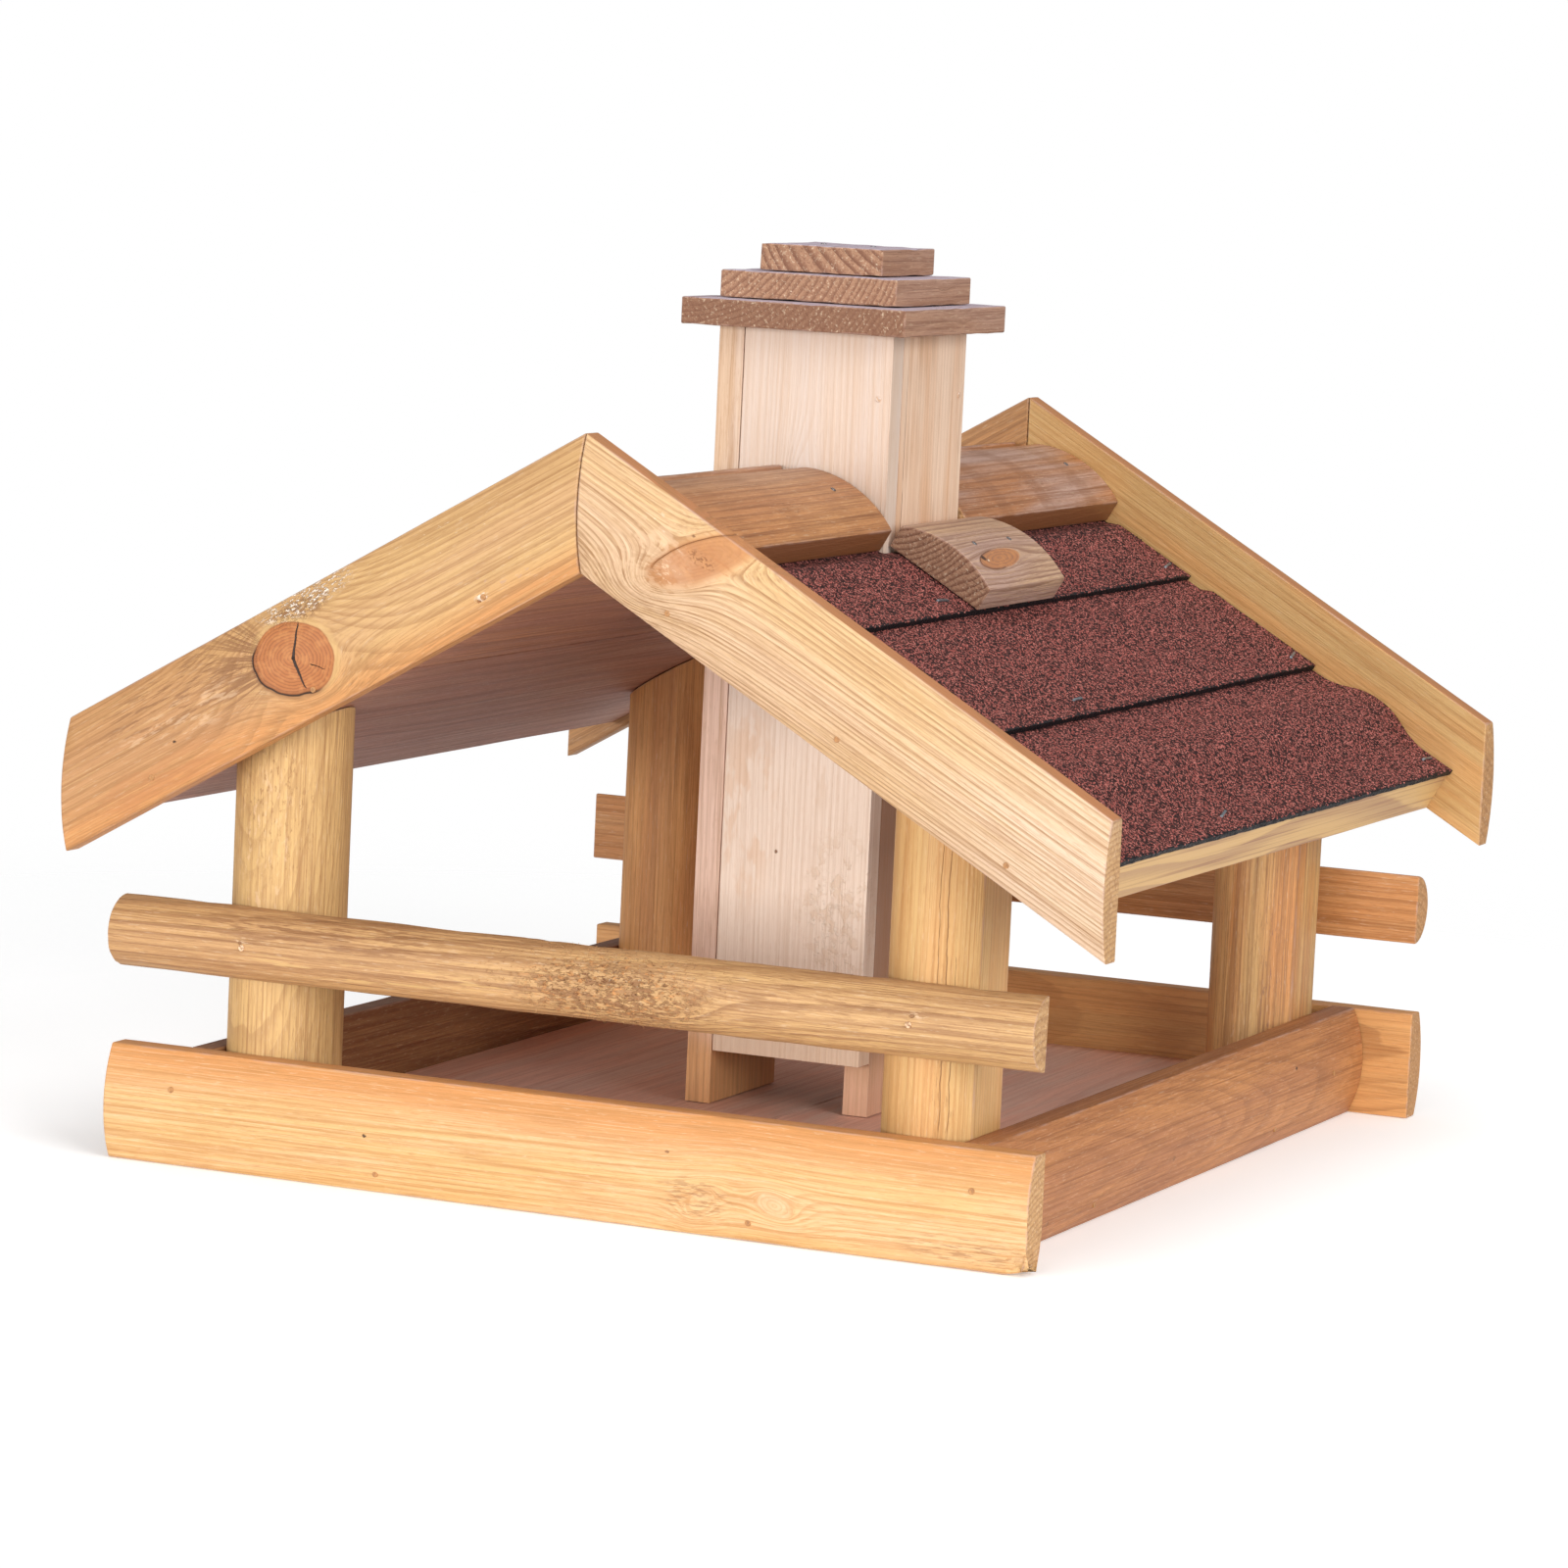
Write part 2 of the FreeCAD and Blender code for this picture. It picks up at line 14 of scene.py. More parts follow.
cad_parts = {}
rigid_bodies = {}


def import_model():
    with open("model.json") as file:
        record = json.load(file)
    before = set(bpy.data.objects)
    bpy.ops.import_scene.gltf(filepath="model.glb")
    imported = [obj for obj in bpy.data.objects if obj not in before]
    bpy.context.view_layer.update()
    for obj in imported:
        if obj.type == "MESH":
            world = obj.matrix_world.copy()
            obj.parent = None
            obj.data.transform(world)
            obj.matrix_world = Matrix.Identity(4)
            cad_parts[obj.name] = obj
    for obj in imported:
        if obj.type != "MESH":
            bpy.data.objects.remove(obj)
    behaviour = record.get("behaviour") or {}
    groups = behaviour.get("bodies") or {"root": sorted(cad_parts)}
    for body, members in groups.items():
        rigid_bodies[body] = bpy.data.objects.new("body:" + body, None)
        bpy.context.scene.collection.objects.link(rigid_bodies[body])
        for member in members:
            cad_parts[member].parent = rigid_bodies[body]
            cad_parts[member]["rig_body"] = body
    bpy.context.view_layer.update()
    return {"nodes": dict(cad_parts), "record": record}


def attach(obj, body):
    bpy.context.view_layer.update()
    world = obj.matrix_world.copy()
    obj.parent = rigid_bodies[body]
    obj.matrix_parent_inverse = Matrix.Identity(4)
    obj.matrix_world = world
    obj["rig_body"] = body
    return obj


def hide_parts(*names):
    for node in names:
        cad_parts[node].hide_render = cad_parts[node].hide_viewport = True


bl_info = {
    "name": "Bird Feeder House",
    "version": (1, 0, 0),
    "blender": (4, 5, 0),
    "location": "3D View > Sidebar > Feeder",
    "description": "Dresses a wooden bird feeder house with grained timber, shingles and fasteners",
    "category": "Add Mesh",
}

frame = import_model()
MM = 0.001
PITCH = math.radians(30)

# Ways that the timber runs: x to the right, y to the back along the ridge, z up.
RIGHT = Vector((1, 0, 0))
BACK = Vector((0, 1, 0))
UP = Vector((0, 0, 1))
SIDES = {"left": -1, "right": 1}

# Faces of a board in its own axes, and the ways along and across it
LOW_EDGE = (0, -1, 0)
TOP_EDGE = (0, 1, 0)
FACE = (0, 0, 1)
ALONG = Vector((1, 0, 0))
ACROSS = Vector((0, 1, 0))

# Corners closer than this are one, and folds are flat, crisp or an arris from these angles on
WELD = 1e-6
FLAT_FOLD = math.radians(1)
CRISP_FOLD = math.radians(22)
ARRIS_FOLD = math.radians(30)


def down_slope(side):
    """The way from the ridge to the eave on one side."""
    return Vector((side * math.cos(PITCH), 0, -math.sin(PITCH)))


def off_slope(side):
    """The way straight out of one roof slope."""
    return Vector((side * math.sin(PITCH), 0, math.cos(PITCH)))


# Settings that the panel shows


def tone(name, description, red, green, blue):
    """A colour setting, in linear light."""
    return FloatVectorProperty(
        name=name,
        description=description,
        subtype="COLOR",
        size=3,
        min=0.0,
        max=1.0,
        default=(red, green, blue),
    )


def length(name, description, millimetres):
    """A length setting, in metres."""
    return FloatProperty(
        name=name, description=description, default=millimetres * MM, min=0.0, unit="LENGTH", precision=5
    )


def strength(name, description, default, unit="NONE"):
    """A setting that isn't a length."""
    return FloatProperty(name=name, description=description, default=default, min=0.0, unit=unit)


class TimberFinish(PropertyGroup):
    """Sizes and stains of the boards. Each stain has a ground and the tone of its ring lines."""

    arris: length("Arris", "Easing of the boards' long edges and ends", 0.8)
    unevenness: length("Unevenness", "How far planed faces dip below true", 0.35)
    station: length("Station", "Distance between the sections that shape a board", 9.0)
    honey: tone("Honey", "Ground of the front rim, the front posts and one barge board", 0.63, 0.395, 0.16)
    honey_line: tone("Honey line", "Ring lines on honey stain", 0.44, 0.205, 0.063)
    amber: tone("Amber", "Ground of the back rail and the back posts", 0.60, 0.265, 0.088)
    amber_line: tone("Amber line", "Ring lines on amber stain", 0.32, 0.122, 0.035)
    umber: tone("Umber", "Ground of the back left barge board", 0.50, 0.26, 0.105)
    umber_line: tone("Umber line", "Ring lines on umber stain, ground of the left rim", 0.27, 0.125, 0.05)
    straw: tone("Straw", "Ground of the front right barge board", 0.72, 0.485, 0.30)
    straw_line: tone("Straw line", "Ring lines on straw stain", 0.43, 0.215, 0.09)
    gold: tone("Gold", "Ground of the front rail and the front left barge board", 0.56, 0.325, 0.145)
    gold_line: tone("Gold line", "Ring lines on gold stain", 0.31, 0.145, 0.05)
    apricot: tone("Apricot", "Ground of the back rim", 0.73, 0.365, 0.13)
    raw: tone("Raw pine", "Ground of the silo's front, back and left boards", 0.72, 0.585, 0.50)
    raw_line: tone("Raw pine line", "Ring lines on raw pine", 0.60, 0.38, 0.23)
    cream: tone("Cream", "Ground of the silo's right side", 0.76, 0.475, 0.30)
    varnish: tone("Varnished", "Ground of the ridge caps and the right rim", 0.43, 0.175, 0.066)
    varnish_line: tone("Varnished line", "Ring lines on varnished wood", 0.21, 0.075, 0.025)
    sawn: tone("Sawn", "Ground of the lid plates", 0.42, 0.23, 0.14)
    sawn_line: tone("Sawn line", "Ring lines on the lid plates", 0.22, 0.10, 0.06)
    dusk: tone("Dusk", "Weathered end grain of the lower lid plate", 0.29, 0.15, 0.09)
    weathered: tone("Weathered", "Ground of the blocks and of worn arrises", 0.47, 0.30, 0.24)
    weathered_line: tone("Weathered line", "Ring lines on weathered wood", 0.26, 0.135, 0.085)
    mauve: tone("Mauve brown", "Ground of the roof boards", 0.43, 0.19, 0.122)
    mauve_line: tone("Mauve brown line", "Ring lines on the roof boards", 0.25, 0.10, 0.065)
    blush: tone("Blush", "Ground of the tray floor", 0.92, 0.55, 0.42)
    blush_line: tone("Blush line", "Ring lines on the tray floor", 0.60, 0.32, 0.24)
    # Pale torn fibre; on the silo under the roof it is painted light that lifts the shade there
    pale_fibre_and_painted_light: tone("Bleached", "Palest pine, on the silo under the roof", 0.97, 0.80, 0.655)
    # Weathered grey with a painted reflection of the sky, for upward faces
    weathering_and_sky_sheen: tone("Ash grey", "Upper faces that rain has washed", 0.51, 0.44, 0.52)
    torn: tone("Torn fibre", "Bare fibre in scuffs and sawn ends", 0.80, 0.63, 0.45)
    knot: tone("Knot", "Heart of a knot", 0.43, 0.15, 0.045)
    knot_ring: tone("Knot ring", "Rings and rim of a knot", 0.17, 0.055, 0.02)
    dark: tone("Crack", "Bottom of cracks, holes and gaps", 0.03, 0.013, 0.007)


class ShingleFinish(PropertyGroup):
    """Sizes and colours of the granulated roofing."""

    grain: length("Grain", "Mean width of a mineral granule", 0.9)
    ragged: length("Ragged edge", "How far the cut edges wander", 0.9)
    stones: IntProperty(
        name="Loose stones", description="Raised granules on a square metre", default=540000, min=0
    )
    red: tone("Red granule", "Ceramic-coated granules", 0.39, 0.104, 0.087)
    rust: tone("Rust granule", "The lighter granules", 0.56, 0.205, 0.17)
    black: tone("Dark granule", "Dark granules between the red", 0.03, 0.011, 0.011)
    bitumen: tone("Bitumen", "Cut edges and bare felt", 0.006, 0.006, 0.008)


class StageLight(PropertyGroup):
    """Studio floor, lamps and lens."""

    floor: tone("Floor", "Pale studio floor", 0.95, 0.95, 0.95)
    floor_reach: length("Floor reach", "Where the floor has faded into the white behind it", 1000.0)
    sky: strength("Sky", "Strength of the even light all round", 0.3)
    key: strength("Key", "Soft lamp low at the front", 60.0, "POWER")
    side: strength("Side", "Soft lamp on the right", 64.0, "POWER")
    top: strength("Top", "Soft lamp overhead", 40.0, "POWER")
    lens: strength("Lens", "Focal length on a 36 mm sensor, in mm", 139.39)


# Node trees


class Bench:
    """A node tree, with one way to add any node to it."""

    def __init__(self, tree):
        self.tree = tree

    def node(self, kind, settings=None, inputs=None, output=0):
        """Add a node. Its settings come first, then its sockets get values or links."""
        made = self.tree.nodes.new(kind)
        for key, value in (settings or {}).items():
            setattr(made, key, value)
        for key, value in (inputs or {}).items():
            self.feed(made.inputs[key], value)
        return Lead(self, made.outputs[output]) if made.outputs else made

    def feed(self, socket, value):
        """Link a lead to a socket, or set the socket's value."""
        if isinstance(value, Lead):
            self.tree.links.new(value.socket, socket)
        else:
            socket.default_value = value


class Lead:
    """A socket of a node tree. Sums and products of leads add Math nodes."""

    def __init__(self, bench, socket):
        self.bench = bench
        self.socket = socket

    def math(self, operation, *others):
        """A Math node on this lead and others."""
        return self.bench.node("ShaderNodeMath", {"operation": operation}, dict(enumerate((self, *others))))

    def __add__(self, other):
        return self.math("ADD", other)

    __radd__ = __add__

    def __sub__(self, other):
        return self.math("SUBTRACT", other)

    def __rsub__(self, other):
        return self.bench.node("ShaderNodeMath", {"operation": "SUBTRACT"}, {0: other, 1: self})

    def __mul__(self, other):
        return self.math("MULTIPLY", other)

    __rmul__ = __mul__

    def __truediv__(self, other):
        return self.math("DIVIDE", other)

    def __abs__(self):
        return self.math("ABSOLUTE")

    def also(self, name):
        """Another output of the same node."""
        return Lead(self.bench, self.socket.node.outputs[name])

    def parts(self):
        """The three numbers of a vector or colour."""
        split = self.bench.node("ShaderNodeSeparateXYZ", None, {0: self})
        return split, split.also("Y"), split.also("Z")

    def stretched(self, x, y, z):
        """A vector lead scaled along its axes."""
        return self.bench.node("ShaderNodeVectorMath", {"operation": "MULTIPLY"}, {0: self, 1: (x, y, z)})

    def noise(self, detail=2.0, roughness=0.5, output="Fac"):
        """Noise at a vector."""
        inputs = {"Vector": self, "Scale": 1.0, "Detail": detail, "Roughness": roughness}
        return self.bench.node("ShaderNodeTexNoise", None, inputs, output)

    def streaks(self, long, wide, detail=2.0, roughness=0.5, output="Fac"):
        """Noise that is long along the grain and wide across it, in millimetres."""
        return self.stretched(1 / long, 1 / wide, 1 / wide).noise(detail, roughness, output)

    def ripple(self):
        """Noise along one number."""
        inputs = {"W": self, "Scale": 1.0, "Detail": 1.0}
        return self.bench.node("ShaderNodeTexNoise", {"noise_dimensions": "1D"}, inputs)

    def step(self, low, high):
        """0 below low, 1 above high and smooth between them. Falls if low is above high."""
        ends = (0.0, 1.0) if low < high else (1.0, 0.0)
        inputs = {0: self, 1: min(low, high), 2: max(low, high), 3: ends[0], 4: ends[1]}
        return self.bench.node("ShaderNodeMapRange", {"interpolation_type": "SMOOTHSTEP"}, inputs)

    def blend(self, first, second):
        """first where this lead is 0, second where it is 1."""
        inputs = {0: self, 6: paint(first), 7: paint(second)}
        return self.bench.node("ShaderNodeMix", {"data_type": "RGBA", "clamp_factor": True}, inputs, 2)


def paint(value):
    """A lead as it is, or a colour setting as a socket's value."""
    return value if isinstance(value, Lead) else (*value, 1.0)


def new_finish(name):
    """A new material, the bench of its tree and its shader."""
    material = bpy.data.materials.new(name)
    material.use_nodes = True
    return material, Bench(material.node_tree), material.node_tree.nodes["Principled BSDF"]


# Boards and the wood in them


class Board:
    """Where a board lies. u runs along its grain, v across it and w out of its face, in metres."""

    def __init__(self, node, along, outward):
        self.node = node
        self.u = along.normalized()
        self.w = outward.normalized()
        self.v = self.w.cross(self.u)
        self.turn = Matrix((self.u, self.v, self.w))
        spots = [self.turn @ vertex.co for vertex in frame["nodes"][node].data.vertices]
        low = Vector(map(min, zip(*spots)))
        high = Vector(map(max, zip(*spots)))
        self.middle = (low + high) / 2
        self.half = (high - low) / 2

    def local(self, point):
        """A point in the board's own axes, in millimetres from its middle."""
        return (self.turn @ point - self.middle) / MM


@dataclass
class Wood:
    """How a board was sawn from its log, in millimetres, and how strongly its figure shows."""

    ground: str
    line: str
    pith: tuple = (0.0, -45.0)
    drift: tuple = (0.0, 0.02)
    ring: float = 2.6
    waver: float = 6.0
    curl: float = 1.2
    contrast: float = 0.65
    fibre: float = 0.55
    mottle: float = 0.35
    blotch: float = 0.4
    glow: str = "honey"
    washes: tuple = ()
    end: str = "gold"
    end_line: str = "umber_line"
    end_ring: float = 0.4
    facings: tuple = ()
    relief: float = 0.06
    chatter: float = 0.0
    roughness: float = 0.55
    coat: float = 0.0
    marks: tuple = ()


class Look:
    """What a board's marks work on: its own coordinates, its colour and its height in millimetres."""

    def __init__(self, bench, finish, spot):
        self.bench = bench
        self.finish = finish
        self.spot = spot
        self.u, self.v, self.w = spot.parts()
        self.run = self.v
        self.grain = spot
        self.colour = None
        self.height = None

    def bend(self, marks):
        """Lead the grain round the knots."""
        shifts = [shift for shift in (mark.bend(self) for mark in marks) if shift]
        for shift in shifts:
            self.run = self.run + shift
        if shifts:
            bent = {"X": self.u, "Y": self.run, "Z": self.w}
            self.grain = self.bench.node("ShaderNodeCombineXYZ", None, bent)

    def lay(self, mask, stain, lift=0.0):
        """Lay a stain where the mask is 1, and lift the surface there."""
        self.colour = mask.blend(self.colour, getattr(self.finish, stain))
        if lift:
            self.height = self.height + mask * lift


class Mark:
    """A feature at one place of a board's face."""

    def offset(self, look, degrees):
        """Distances along and across a direction from the mark's middle."""
        angle = math.radians(degrees)
        du = look.u - self.u
        dv = look.v - self.v
        return du * math.cos(angle) + dv * math.sin(angle), dv * math.cos(angle) - du * math.sin(angle)

    def bend(self, look):
        """How far the grain is shifted across its run, or None."""
        return None

    def push(self, look):
        """How far the rings are pushed aside, or None."""
        return None

    def work(self, look):
        """Change the look's colour and height."""


@dataclass
class Knot(Mark):
    """A branch through the face: rings, a dark rim with painted shade on one side, a painted
    highlight (the collar) on the other, and cracks. The grain flows round it. Each crack is an
    angle, a start and an end in radii, and a width."""

    u: float
    v: float
    radius: float
    long: float = 1.0
    turn: float = 0.0
    flow: float = 9.0
    heart: str = "knot"
    edge: str = "knot_ring"
    rim: float = 0.0
    shade_way: float = 0.0
    rim_stain: str = "dark"
    rings: float = 0.3
    highlight_collar: float = 0.0
    cover: float = 0.0
    soft: float = 0.02
    cracks: tuple = ()

    def spread(self, look):
        """The square of the distance from the knot's middle, 1 at its rim."""
        along, across = self.offset(look, self.turn)
        along = along / (self.radius * self.long)
        across = across / self.radius
        return along * along + across * across

    def distance(self, look):
        """The distance from the knot's middle, 1 at its uneven rim."""
        uneven = look.spot.stretched(0.13, 0.13, 0.13).noise(1.0)
        return self.spread(look).math("SQRT") + (uneven - 0.5) * 0.12

    def bend(self, look):
        if not self.flow:
            return None
        return (self.v - look.v) / self.spread(look).math("MAXIMUM", 1.0)

    def push(self, look):
        if not self.flow:
            return None
        far = self.distance(look) / 2.0
        return (far * far * -1.0).math("EXPONENT") * self.flow

    def work(self, look):
        if not self.cover:
            return
        far = self.distance(look)
        lean = self.offset(look, self.shade_way)[0] / self.radius
        # A pale band outside the rim, on the side away from the shade: painted highlight
        if self.highlight_collar:
            highlight_band = far.step(0.98, 1.03) * far.step(1.2, 1.06) * lean.step(0.9, -0.3)
            look.lay(highlight_band * self.highlight_collar, "honey", 0.1)
        grain = look.spot.stretched(0.35, 0.35, 0.35).noise(3.0)
        turn = (far * (self.radius / 1.2) + grain * 0.8).math("FRACT")
        heart = (turn.step(0.4, 0.95) * self.rings).blend(
            getattr(look.finish, self.heart), getattr(look.finish, self.edge)
        )
        heart = (grain.step(0.42, 0.72) * 0.4).blend(heart, look.finish.amber)
        look.colour = (far.step(1.0 + self.soft, 1.0 - self.soft) * self.cover).blend(look.colour, heart)
        # The rim and its outline darkest toward shade_way: painted shade over the knot's dark outline
        side = lean.step(-0.1, 0.75) * self.rim
        look.lay(far.step(0.84, 1.0) * far.step(1.14, 1.0) * side * 0.6, self.edge)
        outline = far.step(0.97, 1.0) * far.step(1.04, 1.01) * lean.step(0.2, 0.6)
        look.lay(outline * self.rim, self.rim_stain, -0.4)
        for angle, start, end, width in self.cracks:
            self.crack(look, angle, start * self.radius, end * self.radius, width)

    def crack(self, look, angle, start, end, width):
        """A crack that wanders out from the middle and narrows."""
        along, across = self.offset(look, angle)
        wander = (look.spot.stretched(0.2, 0.2, 0.2).noise(3.0) - 0.5) * 1.8
        narrow = abs(across + wander) - (1.3 - along / end) * (width / 2)
        mask = narrow.step(0.18, -0.1) * along.step(start - 0.6, start) * along.step(end, end * 0.9)
        look.lay(mask, "dark", -0.6)


@dataclass
class Flare(Mark):
    """Fibres that fan out from a knot in one direction."""

    u: float
    v: float
    way: float
    start: float
    end: float
    spread: float = 0.5
    count: float = 16.0
    stain: str = "umber_line"
    amount: float = 0.8

    def work(self, look):
        along, across = self.offset(look, self.way)
        far = (along * along + across * across).math("SQRT")
        fan = across.math("ARCTAN2", along)
        ray = look.bench.node("ShaderNodeCombineXYZ", None, {"X": fan * self.count, "Y": far * 0.03})
        lines = ray.noise(3.0, 0.6).step(0.45, 0.57)
        reach = far.step(self.start * 0.96, self.start * 1.05) * far.step(self.end, self.start * 1.1)
        inside = abs(fan).step(self.spread, self.spread * 0.4)
        look.lay(lines * reach * inside * self.amount, self.stain, -0.2)


@dataclass
class Scuff(Mark):
    """A patch where fibres stand up, are torn out or are stained."""

    u: float
    v: float
    reach_u: float
    reach_v: float
    stain: str = "torn"
    grain: float = 2.2
    cover: float = 0.5
    lift: float = 0.25
    amount: float = 0.8
    long: float = 2.2

    def work(self, look):
        du = (look.u - self.u) / self.reach_u
        dv = (look.v - self.v) / self.reach_v
        patch = (du * du + dv * dv).step(1.0, 0.1)
        size = 1.0 / self.grain
        tufts = look.spot.stretched(size / self.long, size, size).noise(3.0, 0.65)
        edge = 0.72 - 0.3 * self.cover
        mask = patch * tufts.step(edge, edge + 0.1)
        look.lay(mask * self.amount, self.stain, self.lift)


@dataclass
class Hole(Mark):
    """A pin hole or a fleck of pitch."""

    u: float
    v: float
    radius: float = 0.9
    stain: str = "dark"

    def work(self, look):
        du = (look.u - self.u) * 0.7
        dv = look.v - self.v
        far = (du * du + dv * dv).math("SQRT") + (look.spot.stretched(0.9, 0.9, 0.9).noise(1.0) - 0.5) * 0.8
        look.lay(far.step(self.radius, self.radius * 0.6) * 0.9, self.stain, -0.5)


@dataclass
class Check(Mark):
    """A drying crack that runs with the grain."""

    start: float
    end: float
    v: float
    width: float = 0.6

    def work(self, look):
        middle = (self.start + self.end) / 2
        half = (self.end - self.start) / 2
        wander = (look.spot.stretched(0.04, 0.0, 0.0).noise(4.0, 0.55) - 0.5) * 3.0
        along = (look.u - middle) / half
        broken = look.spot.stretched(0.11, 0.0, 0.0).noise(1.0).step(0.28, 0.45)
        narrow = abs(look.v - self.v + wander) - (1.0 - along * along) * (self.width / 2)
        look.lay(narrow.step(0.14, -0.08) * broken * 0.7, "knot_ring", -0.4)


def ring_figure(look, wood):
    """The growth rings of a log that runs along u, as (late wood, one number for each ring)."""
    spot = look.grain
    sway = spot.streaks(260.0, 75.0, 1.0, 0.4, "Color")
    sway_v, sway_w, _ = sway.parts()
    across = look.run - wood.pith[0] - look.u * wood.drift[0] + (sway_v - 0.5) * wood.waver
    depth = look.w - wood.pith[1] - look.u * wood.drift[1] + (sway_w - 0.5) * wood.waver
    radius = (across * across + depth * depth).math("SQRT")
    radius = radius + (spot.streaks(28.0, 8.0, 2.0) - 0.5) * wood.curl
    for mark in wood.marks:
        shove = mark.push(look)
        if shove is not None:
            radius = radius + shove
    phase = radius / wood.ring + (radius * 0.06).ripple() * 2.5
    turn = phase.math("FRACT")
    late = turn.step(0.3, 0.88) * turn.step(1.0, 0.92)
    own = (phase.math("FLOOR") * 0.73).ripple()
    return late, own


def pine(board, wood):
    """Pine with rings, fibre, blotches, end grain, worn arrises and the board's own marks."""
    finish = bpy.context.scene.feeder_timber
    material, bench, shader = new_finish(board.node + "_wood")
    spot = own_axes(bench, board)
    look = Look(bench, finish, spot)
    look.bend(wood.marks)
    grain = look.grain
    ground, line, glow = (getattr(finish, stain) for stain in (wood.ground, wood.line, wood.glow))
    late, own = ring_figure(look, wood)
    fibre = grain.streaks(180.0, 1.3, 3.0, 0.6)
    hair = grain.streaks(60.0, 0.55, 2.0, 0.65)
    pore = grain.streaks(6.0, 0.75, 2.0, 0.65)
    blotch = grain.streaks(120.0, 12.0, 2.0)
    mottle = grain.streaks(45.0, 4.0, 3.0, 0.6)

    look.colour = (blotch.step(0.38, 0.68) * wood.blotch).blend(ground, glow)
    for stain, axis, start, stop, amount in wood.washes:
        look.lay((getattr(look, axis) + (blotch - 0.5) * 12.0).step(start, stop) * amount, stain)
    look.lay(mottle.step(0.48, 0.74) * wood.mottle, wood.line)
    look.lay(late * own.step(0.15, 0.7) * wood.contrast, wood.line)
    look.lay(fibre.step(0.48, 0.7) * wood.fibre, wood.line)
    look.lay(hair.step(0.5, 0.66) * wood.fibre, wood.line)
    look.lay(hair.step(0.46, 0.32) * (wood.fibre * 0.6), wood.glow)
    look.lay(pore.step(0.55, 0.7) * (wood.fibre * 0.7), wood.line)
    # Pale flecks: raised fibre, and painted glints on the varnish
    look.lay(pore.step(0.42, 0.28) * (wood.fibre * 0.4), "torn")
    look.height = late * wood.relief + (fibre + hair + pore - 1.5) * (wood.relief * 2.0)
    if wood.chatter:
        strokes = (look.u / 7.5 + mottle * 1.2).math("SINE").step(-1.0, 1.0)
        look.lay(strokes.step(0.85, 1.0) * (wood.chatter * 0.35), wood.line)
        look.height = look.height + strokes * (wood.chatter * 0.2)

    facing = bench.node("ShaderNodeTexCoord", None, None, "Normal")
    dot = {"operation": "DOT_PRODUCT"}
    facing_u = bench.node("ShaderNodeVectorMath", dot, {0: facing, 1: board.u}, "Value")
    for way, stain in wood.facings:
        outward = board.turn.transposed() @ Vector(way)
        toward = bench.node("ShaderNodeVectorMath", dot, {0: facing, 1: outward}, "Value")
        edge = (late * 0.4 + fibre.step(0.5, 0.65) * 0.4).blend(getattr(finish, stain), line)
        look.colour = toward.step(0.6, 0.9).blend(look.colour, edge)
    end = abs(facing_u).step(0.6, 0.9)
    speck = spot.streaks(1.8, 1.3, 3.0, 0.7)
    sawn = (late * wood.end_ring).blend(getattr(finish, wood.end), getattr(finish, wood.end_line))
    sawn = (mottle.step(0.45, 0.75) * 0.4).blend(sawn, getattr(finish, wood.end_line))
    sawn = (speck.step(0.56, 0.7) * 0.6).blend(sawn, finish.torn)
    sawn = (speck.step(0.48, 0.32) * 0.7).blend(sawn, getattr(finish, wood.end_line))
    look.colour = end.blend(look.colour, sawn)
    look.height = look.height + end * (speck - 0.5) * 0.5

    for mark in wood.marks:
        mark.work(look)

    worn = bench.node("ShaderNodeAttribute", {"attribute_name": "arris"}, None, "Fac")
    worn = worn * spot.streaks(14.0, 5.0, 3.0).step(0.35, 0.7)
    look.colour = (worn * 0.5).blend(look.colour, finish.weathered)

    bump = {"Strength": 0.9, "Distance": MM, "Height": look.height}
    bench.feed(shader.inputs["Base Color"], look.colour)
    bench.feed(shader.inputs["Roughness"], (fibre - 0.5) * 0.3 + end * 0.25 + wood.roughness)
    bench.feed(shader.inputs["Normal"], bench.node("ShaderNodeBump", None, bump))
    shader.inputs["Specular IOR Level"].default_value = 0.4
    shader.inputs["Coat Weight"].default_value = wood.coat
    shader.inputs["Coat Roughness"].default_value = 0.35
    return material


def own_axes(bench, board):
    """A point's place in a board's own axes, in millimetres from its middle."""
    inputs = {
        "Vector": bench.node("ShaderNodeTexCoord", None, None, "Object"),
        "Location": -board.middle / MM,
        "Rotation": board.turn.to_euler(),
        "Scale": (1 / MM, 1 / MM, 1 / MM),
    }
    return bench.node("ShaderNodeMapping", None, inputs)


def plain_copy(node):
    """The node's solid as one merged mesh of flat faces."""
    source = frame["nodes"][node].data
    copy = bmesh.new()
    corners = [copy.verts.new(vertex.co) for vertex in source.vertices]
    for face in source.polygons:
        copy.faces.new([corners[i] for i in face.vertices])
    bmesh.ops.remove_doubles(copy, verts=copy.verts, dist=WELD)
    bmesh.ops.dissolve_limit(copy, angle_limit=FLAT_FOLD, verts=copy.verts, edges=copy.edges)
    return copy


def as_mesh(shape, name):
    """A finished shape as a mesh."""
    mesh = bpy.data.meshes.new(name)
    shape.to_mesh(mesh)
    shape.free()
    return mesh


def slice_at(copy, spots, direction):
    """Cut a mesh into stations at these points, square to a direction."""
    for spot in spots:
        everything = copy.verts[:] + copy.edges[:] + copy.faces[:]
        bmesh.ops.bisect_plane(copy, geom=everything, plane_co=spot, plane_no=direction)


def shade(copy):
    """Smooth faces with sharp arrises."""
    for face in copy.faces:
        face.smooth = True
    for edge in copy.edges:
        edge.smooth = edge.calc_face_angle(0.0) < CRISP_FOLD


def seed_of(name):
    """A shift of the noise that is a board's own, and the same on every run."""
    return Vector((sum(map(ord, name)) % 97, len(name) * 3.7, ord(name[-1]) * 1.3))


